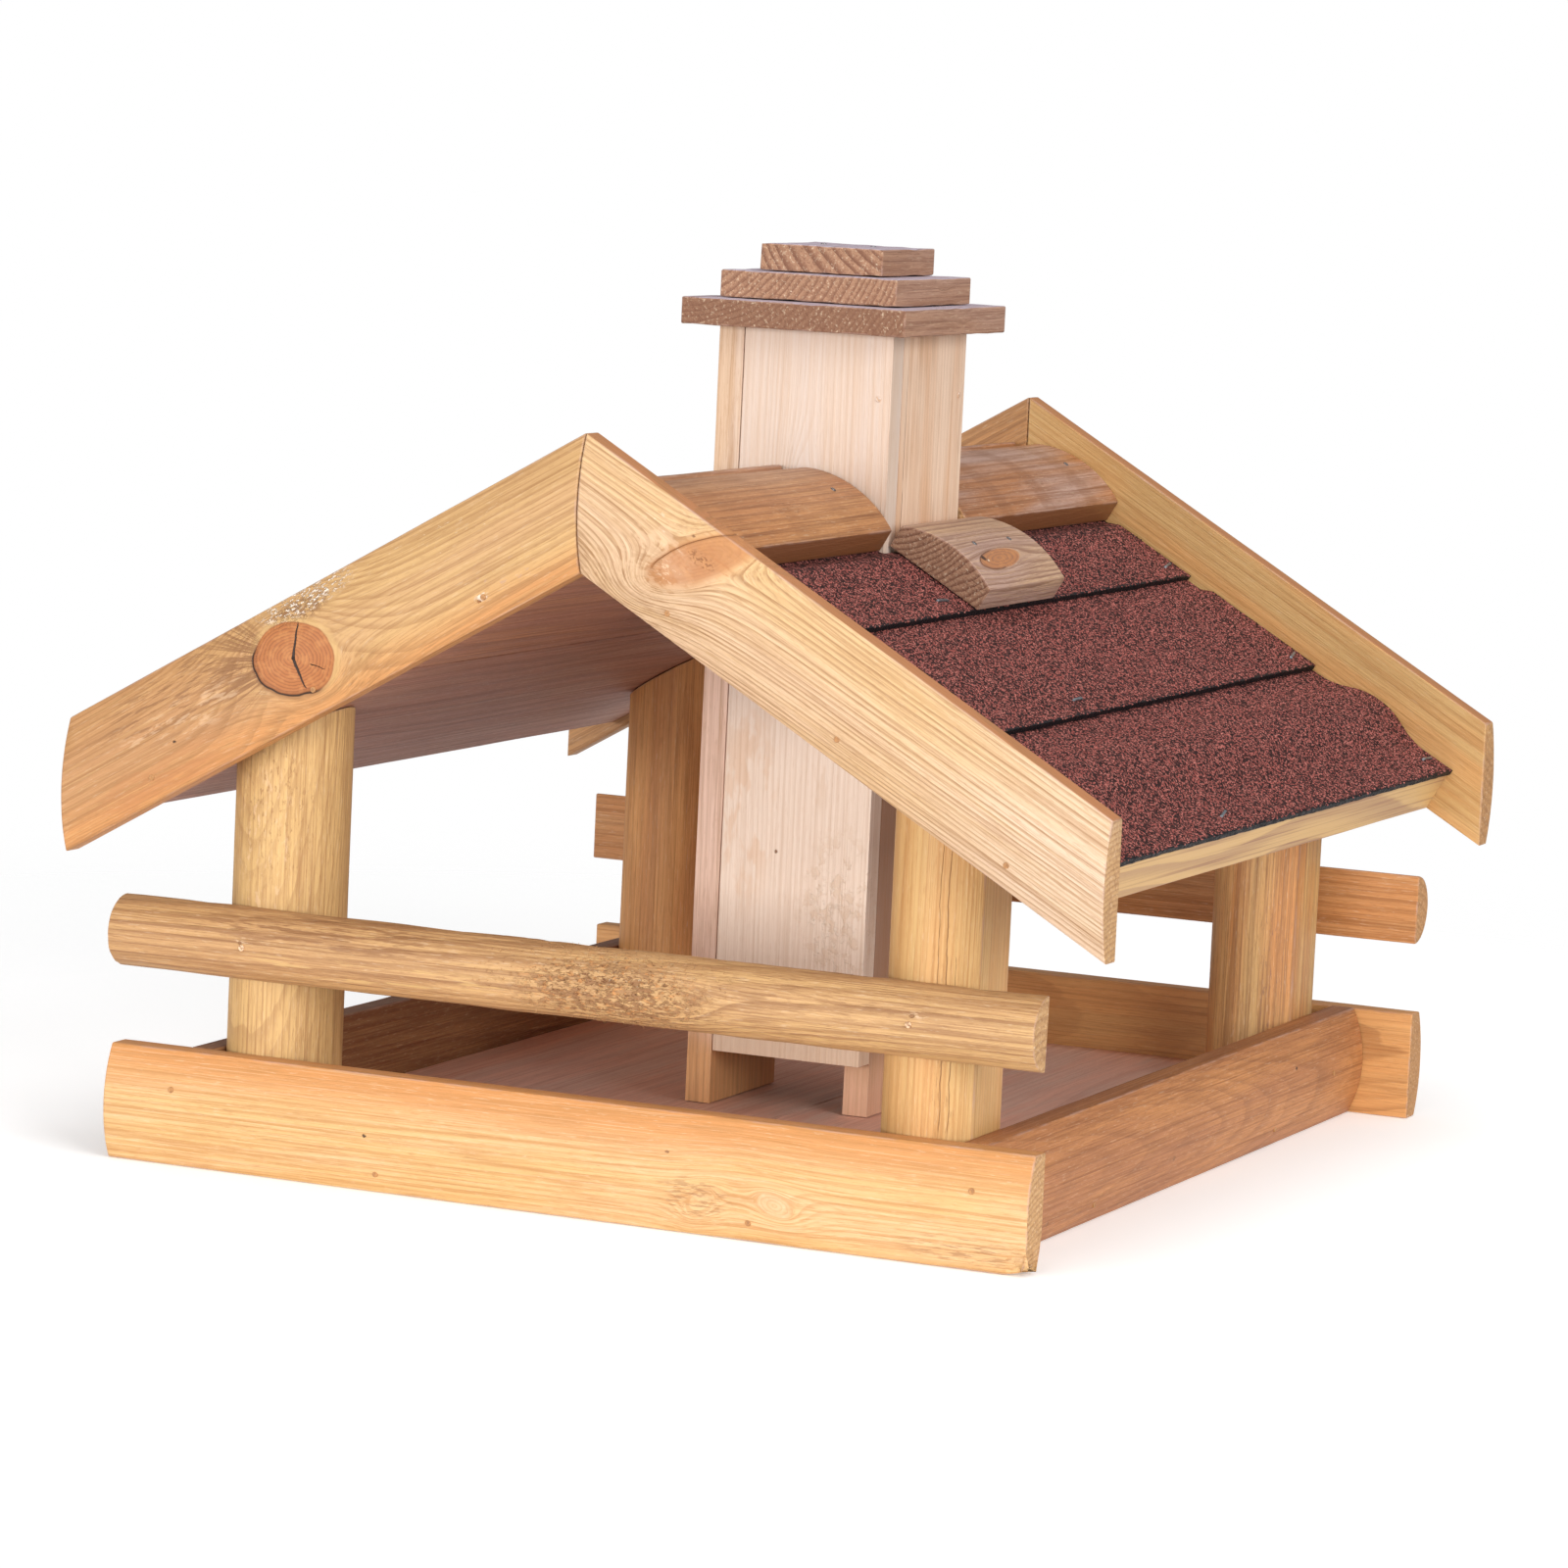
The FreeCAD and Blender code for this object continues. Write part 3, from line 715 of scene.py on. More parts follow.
def stations(board, way, spacing):
    """Points along one of a board's own axes, evenly spaced between its ends."""
    middle = board.middle.dot(way)
    half = board.half.dot(way)
    direction = board.turn.transposed() @ way
    count = max(2, round(2 * half / spacing))
    return [direction * (middle - half + 2 * half * i / count) for i in range(1, count)], direction


def worked(board, carve=None, cross=0.0, splinter=0.0, cuts=(), ease=1.0):
    """A copy of a board with eased arrises, cut into stations and a little uneven. carve gives a
    further depth to take off at a point, in millimetres in the board's own axes, cross the
    distance between cuts along the grain, splinter how far the arrises are broken, cuts further
    stations along u, and ease how far the arrises are eased, 1 as set."""
    finish = bpy.context.scene.feeder_timber
    copy = plain_copy(board.node)
    worn = copy.faces.layers.float.new("arris")
    sharp = [edge for edge in copy.edges if edge.calc_face_angle(0.0) > ARRIS_FOLD]
    rounding = {"offset_type": "OFFSET", "segments": 2, "profile": 0.5, "affect": "EDGES"}
    eased = bmesh.ops.bevel(copy, geom=sharp, offset=finish.arris * ease, **rounding)
    for face in eased["faces"]:
        face[worn] = 1.0
    slice_at(copy, *stations(board, ALONG, finish.station))
    slice_at(copy, [board.u * (board.middle.x + cut * MM) for cut in cuts], board.u)
    if cross:
        slice_at(copy, *stations(board, ACROSS, cross * MM))
    shift = seed_of(board.node)
    copy.normal_update()
    moves = []
    for corner in copy.verts:
        u, v, w = board.local(corner.co)
        wave = noise.noise(Vector((u / 55, v / 30, w / 30)) + shift)
        nick = noise.noise(Vector((u / 9, v / 6, w / 6)) + shift)
        depth = finish.unevenness * (0.5 + 0.38 * wave + 0.12 * nick)
        if carve:
            depth += carve(u, v, w) * MM
        if splinter and any(face[worn] > 0.5 for face in corner.link_faces):
            depth += splinter * MM * max(0.0, noise.noise(Vector((u, v, w)) / 2.7 + shift))
        moves.append(corner.normal * depth)
    for corner, move in zip(copy.verts, moves):
        corner.co -= move
    shade(copy)
    return as_mesh(copy, board.node + "_timber")


def slot_of(node):
    """The material slot that the record gives a node."""
    rows = frame["record"]["subparts"]
    return next(row["material_slot"] for row in rows if row["node"] == node)


def put(name, thing):
    """A new object in the scene that holds a mesh, a lamp or a camera."""
    held = bpy.data.objects.new(name, thing)
    bpy.context.scene.collection.objects.link(held)
    return held


def join(piece, node):
    """Let a piece ride with a node. The node's material slot is looked up and not used."""
    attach(piece, frame["nodes"][node]["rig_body"])
    slot_of(node)


def place(name, mesh, node):
    """Put a mesh in the scene in place of a node."""
    piece = put(name, mesh)
    join(piece, node)
    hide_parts(node)
    return piece


def lay(board, wood, **shaping):
    """Put a worked board in place of its plain solid."""
    piece = place(board.node + "_timber", worked(board, **shaping), board.node)
    piece.data.materials.append(pine(board, wood))
    return piece


def on_slope(node, side):
    """A board that lies along the ridge on one slope, with v up the slope."""
    return Board(node, BACK * side, off_slope(side))


# Operators, one for each group of pieces


class FEEDER_OT_rims(Operator):
    """Make the four rim boards of the tray"""

    bl_idname = "feeder.rims"
    bl_label = "Rims"

    def execute(self, context):
        front = Wood(
            "honey", "honey_line", pith=(-64.0, -26.0), drift=(0.012, 0.02), ring=2.3, waver=7.0, curl=0.8,
            contrast=0.5, glow="straw", fibre=0.52, mottle=0.55, washes=(("amber", "v", 0.0, 20.0, 1.0),),
        )
        front.marks = (
            Knot(61.5, -9.5, 4.0, long=1.6, turn=35.0, flow=7.0),
            Scuff(
                59.0, -8.0, 20.0, 10.0, "umber_line", grain=1.0, cover=0.72, lift=-0.1, amount=0.6,
                long=8.0,
            ),
            Knot(
                91.5, -7.0, 4.0, long=1.8, turn=-15.0, flow=6.0, heart="straw", edge="honey_line",
                rings=0.5, cover=0.5, soft=0.2,
            ),
            Scuff(
                165.0, -15.0, 30.0, 8.0, "umber_line", grain=1.0, cover=0.7, lift=-0.1, amount=0.6,
                long=10.0,
            ),
            Scuff(
                -90.0, 0.0, 110.0, 16.0, "gold_line", grain=1.0, cover=0.35, lift=-0.1, amount=0.45,
                long=14.0,
            ),
            Scuff(-20.0, -4.0, 90.0, 9.0, "straw", grain=1.2, cover=0.3, lift=0.1, amount=0.7, long=6.0),
            Scuff(40.0, 8.0, 120.0, 8.0, "amber", grain=2.0, cover=0.4, lift=0.0, amount=0.5, long=10.0),
            Hole(-77.5, -0.5, 0.7),
            Hole(47.5, 8.0, 0.6, "umber_line"),
        )
        back = Wood(
            "apricot", "amber_line", pith=(6.0, -95.0), drift=(-0.01, 0.03), ring=1.6, waver=8.0, curl=1.0,
            contrast=0.45, fibre=0.3, mottle=0.2,
        )
        left = Wood(
            "umber_line", "knot_ring", pith=(-16.0, -30.0), drift=(0.01, 0.04), ring=3.4, contrast=0.5,
            glow="umber",
        )
        right = Wood(
            "varnish", "varnish_line", pith=(2.0, -95.0), drift=(0.01, 0.022), ring=0.9, waver=4.0,
            curl=0.5, contrast=0.32, glow="amber", fibre=0.45, blotch=0.6,
        )
        right.marks = (
            Hole(120.0, 8.0, 0.9),
            Hole(-20.0, -9.0, 0.9, "umber_line"),
            Scuff(
                -130.0, -4.0, 22.0, 12.0, "umber_line", grain=0.8, cover=0.35, lift=-0.1, amount=0.5,
                long=3.0,
            ),
            Hole(-150.0, -15.0, 1.0, "umber_line"),
        )
        for wood in (back, left, right):
            wood.end = "umber"
        broken = {"carve": self.broken_corner, "cross": 7.0, "cuts": self.corner_cuts}
        lay(Board("front_rim", RIGHT, -BACK), front, **broken)
        lay(Board("back_rim", -RIGHT, BACK), back)
        lay(Board("left_rim", -BACK, -RIGHT), left)
        lay(Board("right_rim", BACK, RIGHT), right)
        return {"FINISHED"}

    # Further stations at the broken corner, in millimetres
    corner_cuts = tuple(180.0 + 1.5 * i for i in range(7))

    @staticmethod
    def broken_corner(u, v, w):
        """The splintered lower corner at the front rim's right end."""
        corner_u, corner_v, reach = 191.0, -22.5, 10.0
        depth, ragged = 3.2, 2.6
        near = max(0.0, 1.0 - math.hypot(u - corner_u, (v - corner_v) * 0.7) / reach)
        return near * (depth + ragged * noise.noise(Vector((u, v, w)) * 0.6))


class FEEDER_OT_floor(Operator):
    """Make the two boards of the tray floor"""

    bl_idname = "feeder.floor"
    bl_label = "Floor"

    def execute(self, context):
        left = Wood(
            "blush", "blush_line", pith=(90.0, -60.0), drift=(0.02, 0.0), ring=5.0, waver=24.0,
            contrast=0.4, glow="raw", blotch=0.45,
        )
        right = Wood(
            "blush", "blush_line", pith=(-80.0, -45.0), drift=(0.02, 0.0), ring=4.2, waver=24.0,
            contrast=0.35, glow="raw", fibre=0.3, blotch=0.5,
        )
        right.marks = (Hole(-120.0, -20.0, 1.2, "mauve_line"), Hole(-96.0, -52.0, 1.0, "mauve_line"))
        lay(Board("floor_board_left", BACK, UP), left)
        lay(Board("floor_board_right", BACK, UP), right)
        return {"FINISHED"}


class FEEDER_OT_posts(Operator):
    """Make the four round posts"""

    bl_idname = "feeder.posts"
    bl_label = "Posts"

    def execute(self, context):
        front_left = Wood(
            "honey", "gold_line", pith=(3.0, 10.0), drift=(0.05, 0.1), ring=1.5, waver=14.0, curl=1.6,
            contrast=0.36, fibre=0.46, mottle=0.45,
        )
        front_left.marks = (
            Scuff(44.0, 0.0, 38.0, 20.0, "gold_line", grain=1.5, cover=0.5, lift=0.2, amount=0.6, long=2.6),
            Scuff(28.0, -3.0, 40.0, 16.0, "straw", grain=2.6, cover=0.5, lift=0.1, amount=0.5, long=2.4),
            Scuff(
                -40.0, 14.0, 70.0, 7.0, "gold_line", grain=0.9, cover=0.4, lift=0.1, amount=0.45, long=9.0,
            ),
        )
        front_right = Wood(
            "honey", "honey_line", pith=(42.0, 24.0), drift=(0.0, 0.01), ring=1.7, waver=2.5, curl=0.5,
            contrast=0.5, glow="amber", fibre=0.42,
        )
        front_right.marks = (
            Check(start=-66.0, end=72.0, v=9.5, width=0.25),
            Check(start=-74.0, end=10.0, v=12.5, width=0.15),
            Check(start=0.0, end=70.0, v=6.5, width=0.1),
            Scuff(
                -20.0, 11.0, 60.0, 6.0, "gold_line", grain=0.8, cover=0.5, lift=-0.1, amount=0.5, long=8.0,
            ),
        )
        back_left = Wood(
            "amber", "amber_line", pith=(-32.0, 26.0), drift=(0.01, 0.02), ring=3.2, contrast=0.25,
            glow="apricot", fibre=0.4,
        )
        back_right = Wood(
            "amber", "umber_line", pith=(34.0, 22.0), drift=(0.01, 0.0), ring=3.0, contrast=0.5,
        )
        for wood in (back_left, back_right):
            wood.blotch = 0.9
        back_right.marks = (Scuff(
            -30.0, 12.0, 50.0, 6.0, "weathered_line", grain=1.0, cover=0.5, lift=0.0, amount=0.7, long=7.0,
        ),)
        lay(Board("post_front_left", UP, BACK), front_left)
        lay(Board("post_front_right", UP, BACK), front_right)
        lay(Board("post_back_left", UP, BACK), back_left)
        lay(Board("post_back_right", UP, BACK), back_right)
        return {"FINISHED"}


class FEEDER_OT_rails(Operator):
    """Make the half-round rails, the front one with raised splinters"""

    bl_idname = "feeder.rails"
    bl_label = "Rails"

    def execute(self, context):
        front = Wood(
            "gold", "umber_line", pith=(-30.0, -6.0), drift=(0.03, 0.01), ring=3.6, waver=8.0, curl=1.4,
            contrast=0.72, mottle=0.45, relief=0.14, washes=(("umber", "u", 40.0, -180.0, 0.5),),
        )
        front.marks = (
            Knot(46.0, -2.0, 4.5, long=2.4, flow=8.0),
            Scuff(
                -96.0, 8.0, 80.0, 8.0, "umber_line", grain=2.4, cover=0.75, lift=-0.1, amount=0.85,
                long=9.0,
            ),
            Scuff(-70.0, -5.0, 90.0, 6.0, "honey", grain=2.2, cover=0.6, lift=0.0, amount=0.7, long=12.0),
            Scuff(
                22.0, -3.0, 50.0, 16.0, "umber_line", grain=1.5, cover=0.8, lift=-0.45, amount=0.85,
                long=2.6,
            ),
            Scuff(22.0, 0.0, 46.0, 16.0, "amber", grain=1.6, cover=0.62, lift=0.3, amount=0.7, long=1.8),
            Scuff(
                25.0, 2.0, 40.0, 15.0, "varnish_line", grain=1.1, cover=0.5, lift=-0.4, amount=0.75,
                long=2.0,
            ),
            Scuff(30.0, 8.0, 34.0, 8.0, "torn", grain=0.9, cover=0.35, lift=0.4, amount=0.7, long=1.4),
            Scuff(
                104.0, 6.0, 66.0, 9.0, "umber_line", grain=1.8, cover=0.7, lift=-0.15, amount=0.5, long=8.0,
            ),
            Scuff(112.0, -9.0, 76.0, 5.0, "honey", grain=3.0, cover=0.7, lift=0.0, amount=0.6, long=9.0),
            Scuff(-131.0, 2.8, 6.0, 1.6, "straw", grain=1.4, cover=0.8, lift=0.2, amount=0.7, long=4.0),
            Hole(-133.0, 1.8, 0.8, "umber_line"),
            Scuff(145.0, 3.8, 5.0, 1.6, "straw", grain=1.4, cover=0.8, lift=0.2, amount=0.7, long=4.0),
            Hole(143.0, 3.3, 0.9, "umber_line"),
        )
        back = Wood(
            "amber", "amber_line", pith=(-22.0, -12.0), drift=(0.02, 0.02), ring=3.6, contrast=0.5,
            glow="gold", end="umber",
        )
        board = Board("front_rail", RIGHT, -BACK)
        rail = lay(board, front, carve=self.lumpy, splinter=0.5, cuts=self.rough_cuts)
        self.splinters(board, rail)
        lay(Board("back_rail", -RIGHT, BACK), back)
        return {"FINISHED"}

    # Further stations in the torn patch, in millimetres
    rough_cuts = tuple(-42.0 + 2.5 * i for i in range(50))

    @staticmethod
    def roughness_at(u, v):
        """1 in the middle of the torn patch, 0 outside it."""
        middle_u, middle_v, reach_u, reach_v = 20.0, 2.0, 58.0, 17.0
        return max(0.0, 1.0 - ((u - middle_u) / reach_u) ** 2 - ((v - middle_v) / reach_v) ** 2)

    @classmethod
    def lumpy(cls, u, v, w):
        """Hand-shaved hollows, and pits in the torn patch."""
        lump = noise.noise(Vector((u / 24, v / 14, w / 14)))
        pit = noise.noise(Vector((u / 3.4, v / 3.0, w / 3.0)))
        return 0.35 + 0.35 * lump + cls.roughness_at(u, v) * max(0.0, 0.5 * pit + 0.2)

    @classmethod
    def splinters(cls, board, rail):
        """Slivers that stand up in the torn patch."""
        patch = rail.data.copy()
        density = patch.attributes.new("density", "FLOAT", "FACE")
        for face in patch.polygons:
            u, v, _ = board.local(face.center)
            outside = float(face.normal.dot(board.w) > 0.1)
            density.data[face.index].value = cls.roughness_at(u, v) * outside
        piece = put("front_rail_splinters", patch)
        sizes = {"Number": 260000.0, "Length": 2.4 * MM, "Width": 0.16 * MM, "Seed": 4}
        grow(piece, splinter_tree(), sizes, rail.data.materials[0])
        join(piece, board.node)


class FEEDER_OT_roof_boards(Operator):
    """Make the boards under the shingles"""

    bl_idname = "feeder.roof_boards"
    bl_label = "Roof boards"

    def execute(self, context):
        for name, side in SIDES.items():
            upper = Wood(
                "mauve", "mauve_line", pith=(-60.0, -50.0), drift=(0.03, 0.02), ring=5.5, waver=30.0,
                contrast=0.6,
            )
            lower = Wood(
                "mauve", "mauve_line", pith=(75.0, -70.0), drift=(0.02, 0.02), ring=6.0, waver=30.0,
                contrast=0.6,
            )
            lower.marks = (Check(start=60.0, end=84.0, v=-58.0, width=0.8),)
            for place_name, wood in (("upper", upper), ("lower", lower)):
                wood.glow = "amber" if place_name == "upper" else "sawn"
                wood.facings = ((LOW_EDGE, "honey"),)
                lay(on_slope("roof_board_" + name + "_" + place_name, side), wood)
        return {"FINISHED"}


class FEEDER_OT_barge_boards(Operator):
    """Make the barge boards on both gables"""

    bl_idname = "feeder.barge_boards"
    bl_label = "Barge boards"

    def execute(self, context):
        lay(Board("barge_front_left", -down_slope(-1), -BACK), self.front_left())
        lay(Board("barge_front_right", down_slope(1), -BACK), self.front_right())
        back_left = Wood("umber", "umber_line", pith=(-58.0, -28.0), ring=2.8, contrast=0.5, glow="amber")
        back_right = Wood(
            "honey", "honey_line", pith=(66.0, 30.0), drift=(0.02, 0.0), ring=3.4, contrast=0.3,
            glow="apricot", fibre=0.4, mottle=0.5, blotch=0.7,
        )
        for wood in (back_left, back_right):
            wood.end = "umber"
            wood.facings = ((TOP_EDGE, "varnish"),)
        lay(Board("barge_back_left", down_slope(-1), BACK), back_left)
        lay(Board("barge_back_right", -down_slope(1), BACK), back_right)
        return {"FINISHED"}

    @staticmethod
    def front_left():
        """Gold board with the large cracked knot."""
        wood = Wood(
            "gold", "gold_line", pith=(70.0, -34.0), drift=(0.03, 0.02), ring=2.6, waver=8.0, curl=1.0,
            contrast=0.55, fibre=0.42, blotch=0.6, mottle=0.35, facings=((TOP_EDGE, "varnish"),),
        )
        wood.washes = (("varnish", "u", 4.0, -60.0, 0.5), ("amber", "v", -6.0, -22.0, 0.85))
        cracks = ((57.0, 0.0, 1.0, 0.9), (-94.0, 0.0, 0.9, 1.0), (-42.0, 0.55, 1.0, 0.35))
        wood.marks = (
            Flare(
                -9.3, 0.1, way=160.0, start=15.6, end=60.0, spread=0.9, count=17.0, stain="umber_line",
                amount=0.95,
            ),
            Scuff(
                -56.0, 9.0, 56.0, 17.0, "umber_line", grain=1.6, cover=0.7, lift=-0.1, amount=0.8, long=9.0,
            ),
            Scuff(-60.0, 0.0, 44.0, 9.0, "straw", grain=3.0, cover=0.6, lift=0.1, amount=0.4, long=4.0),
            Scuff(0.0, 15.5, 18.0, 6.0, "umber_line", grain=1.3, cover=0.9, lift=-0.3, amount=0.9, long=1.6),
            Scuff(4.0, 19.0, 26.0, 7.0, "pale_fibre_and_painted_light", grain=1.0, cover=0.7, lift=0.5, amount=1.0, long=2.0),
            Knot(
                -9.3, 0.1, 13.9, long=1.25, turn=-23.0, flow=18.0, rim=1.0, shade_way=215.0, rings=0.5,
                highlight_collar=0.55, cover=1.0, cracks=cracks,
            ),
            Scuff(62.0, 14.0, 52.0, 9.0, "torn", grain=0.9, cover=0.3, lift=0.15, amount=0.55, long=3.0),
            Scuff(90.0, -8.0, 24.0, 9.0, "weathered", grain=1.6, cover=0.4, lift=0.1, amount=0.5, long=2.0),
            Scuff(
                -84.0, -15.0, 46.0, 10.0, "varnish", grain=5.0, cover=0.85, lift=0.0, amount=0.45, long=6.0,
            ),
            # A torn chip: pale fibre with a painted highlight
            Scuff(71.5, -13.2, 4.0, 1.8, "pale_fibre_and_painted_light", grain=1.3, cover=0.85, lift=0.4, amount=0.8, long=1.8),
            Hole(69.6, -14.2, 0.7, "amber_line"),
            Hole(-70.0, -6.0, 0.5),
        )
        return wood

    @staticmethod
    def front_right():
        """Straw board with close straight rings and a pale spike knot by the ridge."""
        wood = Wood(
            "straw", "gold_line", pith=(-74.0, -10.0), drift=(0.02, 0.0), ring=1.7, waver=3.0, curl=0.5,
            contrast=0.72, fibre=0.42, mottle=0.2, relief=0.1, facings=((TOP_EDGE, "varnish"),),
        )
        wood.washes = (("honey", "v", -6.0, 20.0, 0.45), ("raw", "u", 20.0, 110.0, 0.35))
        wood.marks = (
            Flare(
                -74.0, 4.0, way=205.0, start=9.5, end=24.0, spread=0.8, count=12.0, stain="gold_line",
                amount=0.8,
            ),
            Knot(
                -71.4, 10.3, 9.0, long=2.5, turn=50.0, flow=3.0, heart="amber", edge="gold_line", rings=0.2,
                cover=0.5, soft=0.3,
            ),
            Scuff(-86.0, 0.0, 22.0, 18.0, "straw", grain=5.0, cover=0.9, lift=0.0, amount=0.5, long=2.0),
            Knot(
                -71.4, 10.3, 7.0, long=2.9, turn=50.0, flow=0.0, heart="varnish", edge="amber_line",
                rim=1.0, shade_way=140.0, rim_stain="amber_line", rings=0.4, cover=0.68, soft=0.2,
            ),
            Scuff(
                -71.0, 10.5, 8.0, 3.0, "varnish_line", grain=0.9, cover=0.7, lift=-0.2, amount=0.7,
                long=2.0,
            ),
            Scuff(-79.0, 0.0, 7.0, 6.0, "straw", grain=1.2, cover=0.6, lift=0.0, amount=0.7, long=2.0),
            Scuff(-76.3, 5.0, 8.0, 3.5, "varnish", grain=1.2, cover=0.7, lift=0.0, amount=0.7, long=2.0),
            Scuff(-66.0, 12.0, 14.0, 8.0, "varnish", grain=2.4, cover=0.5, lift=0.0, amount=0.5, long=3.0),
            Scuff(-88.0, 12.0, 14.0, 8.0, "torn", grain=1.6, cover=0.4, lift=0.2, amount=0.5, long=3.0),
            Hole(-78.7, 15.7, 0.5, "umber_line"),
        )
        return wood


class FEEDER_OT_ridge_caps(Operator):
    """Make the ridge caps in front of and behind the silo"""

    bl_idname = "feeder.ridge_caps"
    bl_label = "Ridge caps"

    def execute(self, context):
        for end in ("front", "back"):
            for name, side in SIDES.items():
                wood = Wood(
                    "varnish", "varnish_line", pith=(-40.0, -14.0), drift=(0.02, 0.01), ring=3.6,
                    contrast=0.5, coat=0.12,
                )
                wood.glow = "umber" if end == "front" else "weathered"
                wood.blotch = 0.5 if end == "front" else 0.9
                if end == "front":
                    wood.washes = (("amber", "v", 2.0, -16.0, 0.4), ("sawn", "v", 4.0, 18.0, 0.5))
                wood.facings = ((LOW_EDGE, "varnish_line"),)
                wood.chatter = 0.35 if end == "front" else 0.8
                wood.roughness = 0.45
                wood.marks = (Scuff(
                    6.0, -8.0, 34.0, 6.0, "varnish_line", grain=1.0, cover=0.5, lift=-0.1, amount=0.7,
                    long=4.0,
                ),)
                lay(on_slope("ridge_cap_" + end + "_" + name, side), wood)
        return {"FINISHED"}


class FEEDER_OT_silo_blocks(Operator):
    """Make the blocks beside the silo"""

    bl_idname = "feeder.silo_blocks"
    bl_label = "Silo blocks"

    def execute(self, context):
        for name, side in SIDES.items():
            wood = Wood(
                "weathered", "weathered_line", pith=(40.0, 26.0), drift=(0.0, 0.0), ring=2.2, contrast=0.95,
                end="sawn", end_line="sawn_line", end_ring=1.0, relief=0.1,
            )
            if side > 0:
                wood.marks = (
                    Knot(
                        -9.4, -9.5, 4.6, long=4.7, turn=4.0, flow=4.0, heart="varnish", edge="sawn_line",
                        rim=1.0, shade_way=180.0, rim_stain="varnish_line", rings=0.6, cover=0.95, soft=0.05,
                    ),
                    Hole(-24.5, -8.5, 1.5),
                    Hole(-22.0, -10.0, 0.7, "torn"),
                )
            lay(on_slope("silo_block_" + name, side), wood)
        return {"FINISHED"}


class FEEDER_OT_silo(Operator):
    """Make the four boards of the seed silo"""

    bl_idname = "feeder.silo"
    bl_label = "Silo"

    def execute(self, context):
        front = Wood(
            "raw", "raw_line", pith=(70.0, -20.0), drift=(0.01, 0.0), ring=2.2, waver=4.0, curl=0.8,
            contrast=0.26, glow="straw", fibre=0.23, blotch=0.25,
        )
        # Darker band just under the roof line; below it the silo is washed pale, painted light in the shade
        # under the roof
        front.washes = (
            ("sawn", "u", 52.0, 40.0, 0.85),
            ("raw", "u", 30.0, 20.0, 1.0),
            ("pale_fibre_and_painted_light", "u", 26.0, -30.0, 1.0),
            ("gold", "u", -112.0, -132.0, 0.45),
        )
        front.mottle = 0.16
        front.roughness = 0.45
        front.marks = (
            Knot(76.0, 4.0, 4.0, long=3.2, flow=8.0),
            Scuff(-82.0, -20.0, 40.0, 22.0, "straw", grain=4.2, cover=0.7, lift=0.7, amount=0.35, long=1.2),
            Scuff(
                -86.0, -16.0, 30.0, 16.0, "pale_fibre_and_painted_light", grain=2.6, cover=0.6, lift=0.4, amount=0.6, long=1.4,
            ),
            Scuff(-44.0, 22.0, 50.0, 16.0, "apricot", grain=10.0, cover=0.8, lift=0.0, amount=0.3, long=2.4),
            Scuff(-10.0, -6.0, 50.0, 14.0, "straw", grain=7.0, cover=0.5, lift=0.0, amount=0.35, long=4.0),
            Hole(-62.0, 8.0, 0.7, "umber_line"),
        )
        # The pale blotches on this side are partly painted light
        right = Wood(
            "cream", "straw_line", pith=(-60.0, -24.0), drift=(0.0, 0.01), ring=2.4, waver=4.0, curl=0.8,
            contrast=0.16, glow="pale_fibre_and_painted_light", fibre=0.16, blotch=0.5,
        )
        # Darker band just under the roof line, and a warmer foot
        right.washes = (
            ("sawn", "u", 52.0, 40.0, 0.85),
            ("honey", "u", -125.0, -145.0, 0.9),
            ("blush", "u", -125.0, -145.0, 0.6),
        )
        right.marks = (Check(start=-20.0, end=150.0, v=27.0, width=0.5),)
        left = Wood(
            "raw", "straw_line", pith=(40.0, -60.0), drift=(0.0, 0.02), ring=2.6, waver=5.0, contrast=0.4,
            glow="straw", blotch=0.8, fibre=0.3,
        )
        # Washed pale below the roof line, painted light in the shade under the roof; the foot stained
        # apricot
        left.washes = (
            ("pale_fibre_and_painted_light", "u", 34.0, 14.0, 0.9),
            ("blush", "u", 34.0, 14.0, 0.45),
            ("apricot", "u", -112.0, -136.0, 0.9),
        )
        back = Wood(
            "raw", "raw_line", pith=(-65.0, -34.0), drift=(0.01, 0.03), ring=2.2, contrast=0.3,
            glow="straw",
        )
        for wood in (front, right, left, back):
            wood.end = "straw"
            wood.end_line = "straw_line"
        lay(Board("silo_front", UP, -BACK), front, ease=0.4)
        lay(Board("silo_right", UP, RIGHT), right, ease=0.4)
        lay(Board("silo_left", UP, -RIGHT), left, ease=0.4)
        lay(Board("silo_back", UP, BACK), back, ease=0.4)
        return {"FINISHED"}


